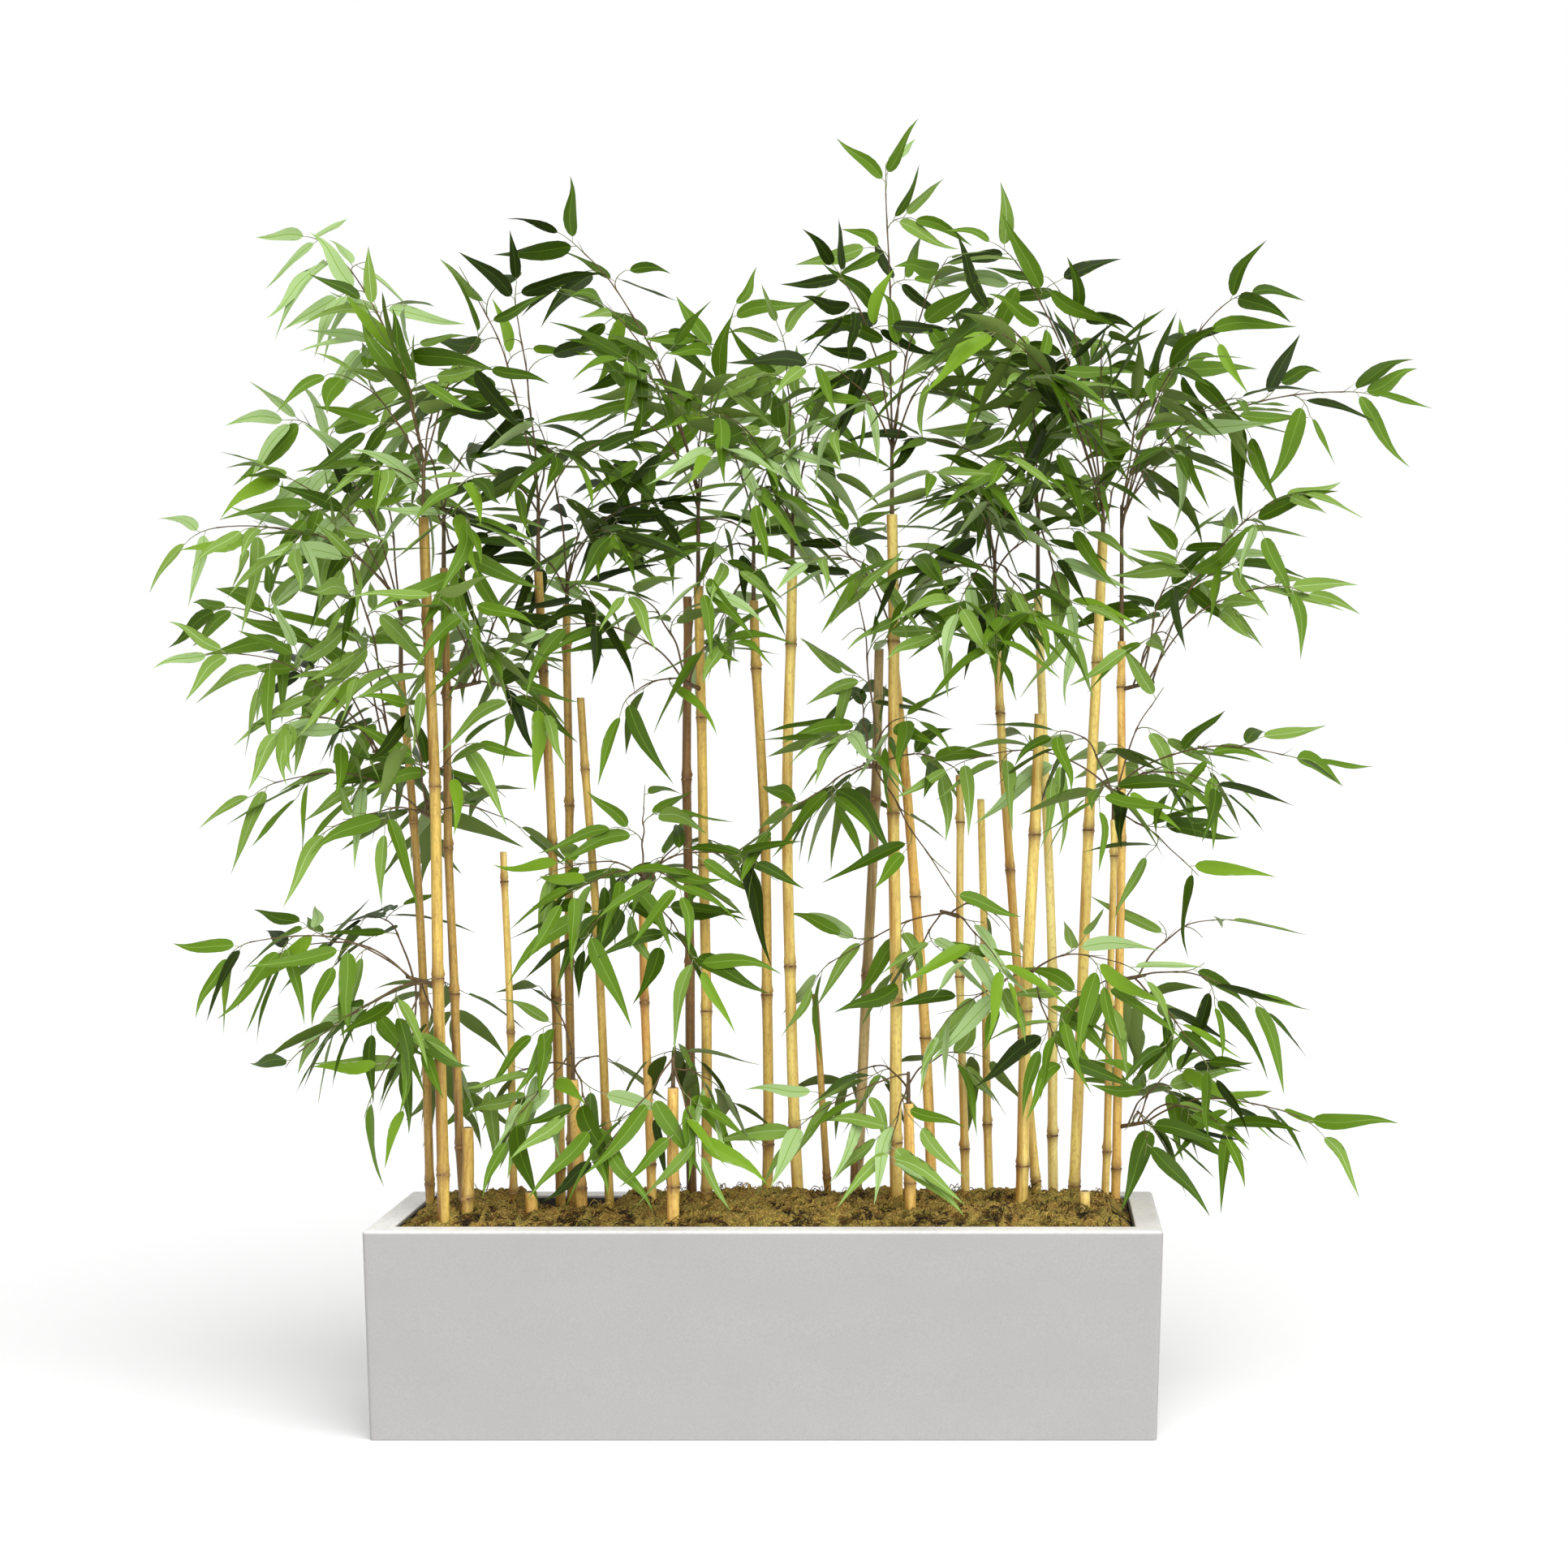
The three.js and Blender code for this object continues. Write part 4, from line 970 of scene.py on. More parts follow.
# One row a mass, as on the part's drawing: its cane, how it leaves it, where its sprays end, and
# how light its leaves are, from 0 to 4; an end with a fourth value has that lightness instead.
# That lightness is partly the leaves' own green and partly painted light and shade on that part
# of the crown. Then come the ends of finer sprays that fill it up.
MASSES = [
    {"cane": 2, "rise": 75, "shade": 2.1, "tips": (
        (-597, 60, 1527, 4.3), (-497, -60, 1413), (-381, -40, 1382), (-523, -110, 1330, 1.6),
        (-455, 130, 1350),
    ), "more": (
        (-450, -70, 1340), (-470, 60, 1290),
    )},
    {"cane": 1, "rise": 100, "shade": 2.4, "tips": (
        (-725, 10, 1150, 2.8), (-634, -80, 1145), (-613, 50, 1287, 4), (-605, -30, 1203),
        (-540, 120, 1245),
    )},
    {"cane": 1, "height": 849, "shade": 2.5, "tips": (
        (-686, -20, 985), (-597, -80, 902), (-581, 70, 1050, 3), (-540, -90, 1130, 3), (-560, 110, 930),
    ), "more": (
        (-700, 0, 1045),
    )},
    {"cane": 2, "height": 773, "shade": 2.4, "tips": (
        (-650, 20, 818), (-550, -80, 765), (-400, -90, 860), (-350, 30, 770), (-520, 100, 845),
    ), "more": (
        (-460, -90, 800), (-405, -100, 790), (-475, 60, 760), (-390, 80, 810), (-440, -90, 900),
    )},
    {"cane": 2, "height": 563, "shade": 1.9, "tips": (
        (-613, -20, 607, 2.4), (-540, 70, 640), (-602, -50, 475, 2.3), (-490, -120, 437, 2),
        (-520, -140, 530), (-440, 120, 520, 2),
    ), "more": (
        (-650, -60, 620), (-455, -110, 440, 2), (-430, 80, 430, 2.6),
    )},
    {"cane": 3, "rise": 80, "shade": 1.8, "tips": (
        (-402, 60, 1260), (-497, 110, 1287), (-381, -90, 1160), (-370, -120, 1055), (-476, -60, 1220),
    )},
    {"cane": 3, "height": 939, "shade": 2.5, "tips": (
        (-350, -80, 1003), (-328, 70, 1080), (-310, -40, 929), (-507, -100, 960), (-412, 130, 1010),
    ), "more": (
        (-400, -90, 1050), (-370, 50, 980), (-460, -80, 890),
    )},
    {"cane": 5, "rise": 100, "shade": 1.3, "tips": (
        (-400, 50, 1466), (-330, -20, 1429), (-265, -100, 1245), (-370, -70, 1213), (-223, 100, 1276),
    )},
    {"cane": 6, "rise": 40, "shade": 0.7, "tips": (
        (-180, 30, 1182), (-244, 120, 1203), (-201, -90, 1139), (-222, -60, 1045), (-340, 60, 1139),
    ), "more": (
        (-290, -70, 1270), (-265, 40, 1200), (-300, 60, 1140),
    )},
    {"cane": 11, "rise": 130, "shade": 1.8, "tips": (
        (-249, 30, 1510, 1), (-191, -60, 1413), (-165, -110, 1350), (-86, -60, 1308, 2.5),
        (-201, 110, 1308), (-65, 60, 1413, 1.9),
    )},
    {"cane": 11, "height": 940, "shade": 1.7, "tips": (
        (-244, -60, 1023), (-159, -110, 1055), (-60, -90, 1002), (-170, -120, 930),
    ), "more": (
        (-110, -110, 960), (-90, 30, 975), (-150, -50, 985), (-130, 80, 930),
    )},
    {"cane": 9, "rise": 40, "shade": 1.5, "tips": (
        (-170, 20, 785), (-265, -40, 710), (-54, -50, 728), (-97, -110, 610), (-220, -100, 640),
        (-107, 120, 739),
    ), "more": (
        (-230, -70, 690), (-110, -80, 700), (-190, 60, 700), (-120, 70, 690), (-40, -90, 640),
        (-20, 40, 600), (-60, -120, 600),
    )},
    {"cane": 14, "rise": 70, "shade": 2.7, "tips": (
        (15, 30, 1381), (75, -60, 1276), (-54, -80, 1287), (41, 120, 1329), (-10, -120, 1190),
    )},
    {"cane": 13, "rise": 90, "shade": 3.3, "tips": (
        (-54, -110, 1245), (-118, 40, 1161, 2), (9, -40, 1245), (-75, -100, 1090, 2), (0, 130, 1161),
        (-100, 190, 1010),
    )},
    {"cane": 17, "rise": 110, "shade": 1.4, "tips": (
        (146, 20, 1587), (100, -50, 1455), (215, -60, 1466), (70, -90, 1350), (241, -100, 1361),
        (178, 120, 1392),
    )},
    {"cane": 18, "rise": 45, "shade": 2.0, "tips": (
        (80, -90, 1108), (200, -80, 1118), (210, -110, 1020, 3), (146, 130, 1150), (62, 60, 1140),
    ), "more": (
        (190, -60, 960), (235, 60, 950), (120, -80, 990), (130, -40, 1140),
    )},
    {"cane": 22, "rise": 80, "shade": 1.6, "tips": (
        (220, -90, 1213), (325, -60, 1203), (262, 120, 1161), (200, -50, 1076), (370, 40, 1150),
    ), "more": (
        (250, -70, 1060, 2.7), (330, -60, 1050), (290, -90, 1010), (300, 60, 1090), (270, -100, 1200),
    )},
    {"cane": 24, "rise": 120, "shade": 2.3, "tips": (
        (262, 40, 1382), (336, -60, 1329), (310, -110, 1235), (399, 120, 1350), (210, 30, 1266, 1.3),
    ), "more": (
        (385, 40, 1030), (330, -50, 1300),
    )},
    {"cane": 25, "rise": 40, "shade": 1.1, "tips": (
        (315, 30, 1500), (294, -60, 1413), (380, 70, 1455), (425, -50, 1381), (375, -70, 1245),
        (470, 150, 1240),
    ), "more": (
        (400, -80, 1060, 2), (450, -60, 1040, 2), (320, -60, 1470), (300, -90, 1380), (285, 60, 1500),
    )},
    {"cane": 26, "rise": 180, "shade": 1.9, "tips": (
        (585, 30, 1440), (745, 40, 1330), (494, -80, 1340), (590, -60, 1310), (505, -110, 1250),
        (526, 140, 1361),
    ), "more": (
        (540, -60, 1370), (560, 60, 1340),
    )},
    {"cane": 26, "height": 940, "shade": 2.1, "tips": (
        (650, -10, 1182, 3), (650, -60, 1071, 3.4), (526, 70, 1108), (505, -100, 1010),
        (590, 120, 1100),
    )},
    {"cane": 27, "rise": 40, "shade": 2.2, "tips": (
        (660, -20, 855), (557, -80, 823), (378, -90, 886), (494, 50, 918), (530, -60, 720, 1),
        (560, 150, 840),
    ), "more": (
        (260, -70, 850), (330, -60, 900), (400, -60, 900), (350, 80, 830), (420, -90, 810),
    )},
    {"cane": 27, "height": 556, "shade": 1.9, "tips": (
        (610, 20, 544), (578, 80, 634), (550, -80, 475), (380, -90, 530, 1.6), (480, 150, 510),
    )},
    {"cane": 26, "height": 360, "shade": 2.2, "tips": (
        (680, -20, 388), (570, -80, 391), (515, 70, 430), (480, -120, 375), (530, 190, 400),
    )},
    {"cane": 17, "height": 833, "shade": 2.0, "tips": (
        (9, -30, 770), (105, -80, 886), (230, -80, 690), (230, 110, 840), (60, 110, 800),
    ), "more": (
        (70, -60, 900), (110, 50, 930), (160, -70, 900), (115, -50, 1050, 3),
    )},
    {"cane": 12, "rise": 40, "shade": 2.5, "tips": (
        (-190, -140, 375), (-86, -135, 390), (-75, -60, 440), (-130, 30, 470),
    )},
    {"cane": 8, "rise": 40, "shade": 2.6, "tips": (
        (-315, -70, 400), (-290, 0, 538), (-222, -100, 400), (-360, 20, 430), (-220, 110, 440),
    )},
    {"cane": 19, "rise": 40, "shade": 3, "tips": (
        (51, -60, 391), (160, -120, 375), (252, 20, 465), (100, 100, 430),
    )},
    {"cane": 20, "height": 640, "shade": 3, "tips": (
        (175, -70, 575), (290, -90, 600), (70, 40, 580), (290, 150, 640),
    ), "more": (
        (20, 0, 560),
    )},
    {"cane": 23, "height": 569, "shade": 2.0, "tips": (
        (450, -70, 590), (240, -60, 530, 3), (368, -100, 486),
    )},
]
# The drawing's leaves, each of which is the fan of small leaves on one side twig.
FAN_SPACING = 75
FAN_REACH = (112, 136)
END_FAN_REACH = (104, 118)
FAN_SPLAY = (36, 62)
END_SPLAY = (-12, 12)
FAN_DROOP = (0.2, 0.5)
FEWEST_FANS = 3
MOST_FANS = 6
FACING_TURN = (-0.9, 0.9)
FACING_RISE = (0.1, 1)
RISE_IN_DEPTH = 1.5  # a spray that runs to the front or back turns its fans up by this
FACE_TILT = (-0.5, 0.5)
FIRST_FAN = 0.4
LAST_FAN = 0.985
UP = np.array([0.0, 0.0, 1.0])
RIGHT = np.array([1.0, 0.0, 0.0])
FRONT = np.array([0.0, -1.0, 0.0])


def unit(direction):
    return direction / np.linalg.norm(direction)


class Gathered:
    """Many small shapes on their way into one joined mesh."""

    def __init__(self):
        self.points = []
        self.places = []
        self.faces = []
        self.looks = []
        self.count = 0

    def add(self, points, faces, looks, places=None):
        self.points.append(points)
        if places is not None:
            self.places.append(places)
        self.faces += [tuple(corner + self.count for corner in face) for face in faces]
        self.looks += looks
        self.count += len(points)

    def add_wire(self, line, radii, sides, look):
        rings = tube_rings(line[None], np.asarray(radii, dtype=float)[None], sides)
        faces = tube_faces(len(line), sides)
        self.add(rings.reshape(-1, 3), faces, [look] * len(faces))

    def finish(self, name, finishes):
        places = np.concatenate(self.places) if self.places else None
        return add_piece(name, np.concatenate(self.points), self.faces, finishes, self.looks, places)


def arched(start, knee, end, along):
    """Points of an arch from start to end that leans towards its knee."""
    t = np.asarray(along, dtype=float)[..., None]
    return (1 - t) ** 2 * start + 2 * t * (1 - t) * knee + t**2 * end


def spray_arch(start, tip, aside):
    """The start, knee and end of a spray's wire, by the drawing's rule."""
    right, back, rise = np.array(tip, dtype=float) - start
    knee_rise = KNEE_RISE * rise + ARCH * math.hypot(right, back)
    knee_back = KNEE_ALONG * back + KNEE_ASIDE * aside
    knee = start + np.array([KNEE_ALONG * right, knee_back, knee_rise])
    return start, knee, np.array([tip[0], tip[1] + aside, tip[2]], dtype=float)


def runs_clear(arch, others):
    """Whether a spray keeps off every cane and off the sprays placed before it."""
    samples = arched(*arch, np.linspace(0, 1, CLEAR_SAMPLES + 1))[2:]
    for cane in canes:
        top = cane["top"][2]
        beside = samples[samples[:, 2] <= top + CANE_CLEARANCE]
        middle = cane_axis(cane, np.minimum(beside[:, 2], top))
        away = np.hypot(beside[:, 0] - middle[:, 0], beside[:, 1] - middle[:, 1])
        if np.any(away < cane_radius(cane, middle[:, 2]) + CANE_CLEARANCE):
            return False
    if len(others):
        apart = np.linalg.norm(samples[:, None] - np.array(others)[None], axis=2)
        return bool(np.all(apart >= SPRAY_CLEARANCE))
    return True


def stem_ends(mass):
    cane = canes[mass["cane"] - 1]
    if "rise" in mass:
        foot = cane_axis(cane, cane["top"][2]) + UP * STEM_GAP
        return foot, foot + UP * mass["rise"]
    middle = cane_axis(cane, mass["height"])
    lean = np.zeros(3)
    for x, y, *_ in mass["tips"]:
        lean += unit(np.array([x - middle[0], y - middle[1], 0.0]))
    return middle, middle + unit(lean) * SIDE_STEM + UP * SIDE_STEM_RISE


def spray_fans(arch, draw):
    """Where the fans of a spray spring, and which way they point and face, by the drawing's rule."""
    wire = arched(*arch, np.linspace(0, 1, WIRE_BENDS + 1))
    reach = np.linalg.norm(wire[-1] - wire[0])
    count = min(max(math.floor(reach / FAN_SPACING + 0.5) + 1, FEWEST_FANS), MOST_FANS)
    fans = []
    for i in range(count):
        at_end = i == count - 1
        along = (FIRST_FAN + (LAST_FAN - FIRST_FAN) * i / (count - 1)) * WIRE_BENDS
        bend = math.floor(along)
        onward = unit(wire[bend + 1] - wire[bend])
        facing = FRONT + RIGHT * draw(FACING_TURN)
        facing = facing + UP * (draw(FACING_RISE) + RISE_IN_DEPTH * abs(onward[1]))
        facing = unit(facing - onward * facing.dot(onward))
        aside = np.cross(onward, facing)
        splay = math.radians(draw(END_SPLAY if at_end else FAN_SPLAY))
        hand = 1 if i % 2 else -1
        pointing = onward * math.cos(splay) + aside * hand * math.sin(splay) - UP * draw(FAN_DROOP)
        pointing = unit(pointing)
        face = facing + aside * draw(FACE_TILT)
        face = unit(face - pointing * face.dot(pointing))
        length = draw(END_FAN_REACH if at_end else FAN_REACH)
        fans.append({
            "along": along / WIRE_BENDS, "onward": onward, "pointing": pointing, "face": face,
            "reach": length, "at_end": at_end,
        })
    return fans


def clear_sprays(mass, tips, first, placed):
    """The sprays from a mass's stem to its tips that find room, the first so far down the stem."""
    down_stem = unit(mass["foot"] - mass["fork"])
    sprays = []
    for tip in tips:
        start = mass["fork"] + down_stem * FORK_SPACING * (len(sprays) + first)
        tries = (spray_arch(start, tip[:3], aside) for aside in ASIDE)
        arch = next((found for found in tries if runs_clear(found, placed)), None)
        if arch:
            sprays.append({"arch": arch, "shade": tip[3] if len(tip) > 3 else None})
    for spray in sprays:
        placed += list(arched(*spray["arch"], np.linspace(0, 1, CLEAR_SAMPLES + 1)))
    return sprays


def lay_out_masses():
    """Every mass with its stem and its sprays, and each spray with its fans."""
    placed = []
    masses = []
    for row in MASSES:
        foot, fork = stem_ends(row)
        mass = {**row, "foot": foot, "fork": fork}
        mass["sprays"] = clear_sprays(mass, row["tips"], FIRST_FORK, placed)
        masses.append(mass)
    for index, mass in enumerate(masses):
        mass["sprays"] += clear_sprays(mass, mass.get("more", ()), FIRST_FILLING_FORK, placed)
        for number, spray in enumerate(mass["sprays"]):
            draw = seeded(SPRAY_SEED_STEP * (index + 1) + number)
            spray["fans"] = spray_fans(spray["arch"], draw)
    return masses


def make_wire_finish(name, low, high):
    material, shader = new_finish(name, high, 0.55)
    tree = material.node_tree
    grain = use_effect(material, upright_grain, Width=1.2, Length=9)
    tree.links.new(blend_colours(tree, grain.outputs["Streak"], low, high), shader.inputs["Base Color"])
    raise_relief(material, shader, grain.outputs["Height"], 0.15)
    return material


def swaying_line(arch, draw):
    """A spray's wire, kinked a little to and fro at its nodes as the growing twig would be."""
    along = np.linspace(0, 1, WIRE_STEPS + 1)
    line = arched(*arch, along)
    onward = unit(arch[2] - arch[0])
    aside = unit(np.cross(onward, UP))
    over = np.cross(aside, onward)
    fade = np.sin(math.pi * along)[:, None] * WIRE_SWAY
    turns = draw(SWAY_TURNS)
    swing = np.sin(along * turns * math.pi + draw(ANY_PHASE))[:, None]
    sway = np.sin(along * (turns - SWAY_LAG) * math.pi + draw(ANY_PHASE))[:, None]
    return line + fade * (aside * swing + over * sway)


def add_mass_twigs(twigs, mass, draw):
    """Adds a mass's stem, sprays and side twigs, and gives each fan its twig's own line."""
    foot = mass["foot"]
    rooted = foot - UP * STEM_SUNK if "rise" in mass else foot
    steps_up = np.linspace(0, 1, STEM_STEPS + 1)
    stem_line = np.array([rooted + (mass["fork"] - rooted) * t for t in steps_up])
    stem_radii = np.linspace(STEM_RADIUS, STEM_TIP_RADIUS, STEM_STEPS + 1)
    twigs.add_wire(stem_line, stem_radii, STEM_SIDES, 0)
    for spray in mass["sprays"]:
        line = swaying_line(spray["arch"], draw)
        radii = np.linspace(WIRE_RADIUS, WIRE_TIP_RADIUS, len(line))
        steps = [round(fan["along"] * WIRE_STEPS) for fan in spray["fans"]]
        for step in steps:
            radii[step] *= NODE_SWELL
        twigs.add_wire(line, radii, WIRE_SIDES, 0)
        for fan, step in zip(spray["fans"], steps):
            root = line[step]
            reach = fan["reach"] * TWIG_REACH * draw(TWIG_REACH_STRAY)
            lean = fan["onward"] * TWIG_LEAN + fan["pointing"] * (1 - TWIG_LEAN)
            tip = root + fan["pointing"] * reach
            knee = root + lean * reach * TWIG_KNEE
            twig = arched(root, knee, tip, np.linspace(0, 1, TWIG_STEPS + 1))
            fan["twig"] = twig
            twig_radii = np.linspace(TWIG_RADIUS, TWIG_TIP_RADIUS, len(twig))
            twigs.add_wire(twig, twig_radii, TWIG_SIDES, 1)
            if draw((0, 1)) < SPIKE_SHARE:
                spike = unit(fan["onward"] + UP * SPIKE_RISE + fan["face"] * draw(SPIKE_STRAY))
                end = root + spike * draw(SPIKE_LENGTH)
                twigs.add_wire(np.array([root, (root + end) / 2, end]), SPIKE_RADII, SPIKE_SIDES, 1)


masses = lay_out_masses()
stem_wrap = make_wire_finish("twig_wrap_brown", (64, 48, 24), (108, 84, 46))
twig_wrap = make_wire_finish("twig_wrap_olive", (74, 82, 30), (120, 128, 58))
for mass_index, mass in enumerate(masses):
    gathered_twigs = Gathered()
    add_mass_twigs(gathered_twigs, mass, seeded(TWIG_SEED + mass_index))
    twig_piece = gathered_twigs.finish(f"twigs_{mass_index + 1:02d}", [stem_wrap, twig_wrap])
    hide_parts(f"foliage_{mass_index + 1:02d}")


# The leaves: polyester cloth stiffened with resin, cut to a bamboo leaf's outline and pressed hot,
# so that each keeps a fold along its rib and fine veins. Moulded stalks clip them to the twigs in
# fans. The cloth comes in several greens, paler underneath.
LEAF_LENGTH = (78, 118)
SHORTEST_LEAF = 62
LEAF_WIDTH = (0.17, 0.24)  # of its length
# The outline: how far along the leaf, and how wide it is there.
OUTLINE_AT = (0, 0.02, 0.06, 0.14, 0.25, 0.38, 0.52, 0.66, 0.8, 0.92, 1)
OUTLINE_WIDTH = (0.1, 0.42, 0.72, 0.94, 1, 0.94, 0.76, 0.52, 0.28, 0.1, 0)
LEAF_STATIONS = np.array([0.015, 0.05, 0.13, 0.25, 0.38, 0.52, 0.66, 0.79, 0.91])
PAIR_SPLAY = (34, 62)
END_LEAF_SPLAY = (-16, 16)
LEAF_TILT = 0.45
LEAF_WEIGHT = 0.1
KEPT_RISE = (0.4, 1)  # a leaf that points up is pulled down to this much of its rise
LEAF_TURNING = (-0.9, 0.9)
LEAF_DROOP = (0.02, 0.2)  # of its length, at the tip
LEAF_CURL = (-0.22, 0.1)  # of its length, towards its face
LEAF_SWEEP = (-0.08, 0.08)
LEAF_BEND = (-0.035, 0.035)  # of its length, to one side and back
LEAF_TWIST = (-0.6, 0.6)
LEAF_FOLD = (0.1, 0.3)
LEAF_RIPPLE = 0.9
RIPPLE_WAVES = 9
RIPPLE_SHIFT = 2  # between a leaf's two sides
LEAF_THICKNESS = 0.5
RIB_HALF_WIDTH = 0.45
RIB_MOST = 0.3  # of the half blade
RIB_THICKNESS = 0.9
STALK_LENGTH = 8
STALK_HALF_WIDTH = 0.5
STALK_SECTION = {"rib": 0.5, "under": 1.2, "keel": 1.6}  # of that half width
LEAVES_A_FAN = (2.3, 3.8)
FAN_SEED_STEP = 1571
SEEDS_A_MASS = 100
SEEDS_A_SPRAY = 10
# Where the photograph shows sky through the screen, leaves are left out. Each gap was picked as seen
# from the front: its middle (x, z), and half its width and height.
SKY_GAPS = (
    (-460, 1510, 50, 60), (-640, 1390, 70, 60), (-330, 1370, 70, 50), (-60, 1500, 80, 70),
    (520, 1470, 90, 60), (-750, 880, 70, 80), (-640, 710, 100, 60), (-560, 380, 110, 60),
    (570, 960, 60, 80), (700, 930, 110, 40), (560, 650, 90, 80), (-320, 740, 60, 80),
    (-190, 890, 90, 80), (-30, 900, 50, 90), (70, 1010, 60, 80), (280, 710, 90, 90),
    (-210, 480, 80, 70), (120, 480, 100, 60), (400, 360, 120, 70),
)
LEFT_IN_A_GAP = 0.2  # of the leaves
VIEW_DISTANCE = -CAMERA_PLACE[1] / MM
VIEW_CENTRE = (CAMERA_PLACE[0] / MM, CAMERA_PLACE[2] / MM)
FIRST_PAIR = 0.35
PAIR_STAGGER = 0.3  # of the way to the next pair
REACH_OVER = 4  # past the drawing's leaf
BOX_MARGIN = 10  # a leaf is aimed to end this far inside the drawing's whole box
TURNS_BACK = 4
TURN_BACK_BY = 1.1  # of what still reaches over
LEAF_SAMPLES = np.linspace(0.15, 1.05, 8)[:, None]  # where along a leaf its room is tried
LEAF_CLEARANCE = 3
RIM_CLEARANCE = 14
TROUGH_MARGIN = 10
LEAF_ROUGHNESS = 0.42
LEAF_SHINE = 0.15
VEIN_COUNT = 14  # across a leaf
VEIN_DEPTH = 0.07
UNDERSIDE_ROUGHNESS = 0.6
AIM_LIFTS = (0, 0.45, 0.9)
# The cloth's greens, from dark to pale. They are partly its own greens and partly painted light and
# shade: the darkest stand for leaves in the crown's shade, and the palest carry a painted whitish
# sheen.
LEAF_GREENS = ((34, 50, 2), (58, 84, 5), (88, 121, 24), (120, 150, 62), (156, 184, 120))
LEAF_UNDERSIDES = ((72, 92, 28), (101, 122, 56), (140, 161, 104))
# A bright yellow-green: painted light, for leaves that the light shines through.
LIT_THROUGH_GREEN = (112, 148, 34)
LIT_THROUGH_SHARE = 0.05
GREEN_SPREAD = (-1.9, 1.9)
OWN_GREEN_SHARE = 0.56  # of the leaves, which keep their spray's own green
SPRAY_SHADE_SPREAD = (-1.1, 1.1)
SHADE_SEED = 1300
STALK_COLOUR = (150, 152, 120)
UNDERSIDE_LOOK = len(LEAF_GREENS) + 1
STALK_LOOK = UNDERSIDE_LOOK + len(LEAF_UNDERSIDES)


def make_vein_effect():
    """Veins that run from a leaf's stalk to its point, as a height from 0 to 1."""
    effect, start, end = new_effect("leaf_veins", {"Count": VEIN_COUNT}, ["Height"])
    place = place_node(effect, "ShaderNodeUVMap", uv_map="leaf_places")
    across = place_node(effect, "ShaderNodeSeparateXYZ")
    effect.links.new(place.outputs["UV"], across.inputs["Vector"])
    turns = calculate(effect, "MULTIPLY", start.outputs["Count"], 2 * math.pi)
    wave = calculate(effect, "SINE", calculate(effect, "MULTIPLY", across.outputs["X"], turns))
    height = calculate(effect, "MULTIPLY_ADD", wave, 0.5, 0.5)
    effect.links.new(height, end.inputs["Height"])
    return effect


leaf_veins = make_vein_effect()


def make_leaf_finish(name, colour, roughness):
    material, shader = new_finish(name, colour, roughness)
    shader.inputs["Specular IOR Level"].default_value = LEAF_SHINE
    veins = use_effect(material, leaf_veins, Count=VEIN_COUNT)
    raise_relief(material, shader, veins.outputs["Height"], VEIN_DEPTH)
    return material


# Round a leaf: how far out each point of a section lies, on the upper side and then on the lower.
RING_ACROSS = np.array([-1, -0.55, 0, 0, 0.55, 1, 0.55, 0, -0.55])
RING_RIB = np.array([0, 0, -1, 1, 0, 0, 0, 0, 0])
RING_UNDER = np.array([0, 0, 0, 0, 0, 0, 1, 0, 1])
RING_KEEL = np.array([0, 0, 0, 0, 0, 0, 0, 1, 0])
RING_COUNT = len(RING_ACROSS)


def leaf_faces():
    """One leaf's faces, and for each what it is: 0 upper side, 1 underside, 2 rib, 3 stalk."""
    rings = len(LEAF_STATIONS) + 2
    faces = [tuple(range(RING_COUNT))[::-1]]
    kinds = [3]
    for ring in range(rings - 1):
        for i in range(RING_COUNT):
            j = (i + 1) % RING_COUNT
            low = ring * RING_COUNT
            faces.append((low + i, low + j, low + RING_COUNT + j, low + RING_COUNT + i)[::-1])
            kinds.append(3 if ring == 0 else 2 if i == 2 else 1 if i >= 5 else 0)
    tip = rings * RING_COUNT
    low = (rings - 1) * RING_COUNT
    for i in range(RING_COUNT):
        faces.append((low + i, low + (i + 1) % RING_COUNT, tip)[::-1])
        kinds.append(1 if i >= 5 else 0)
    return faces, kinds


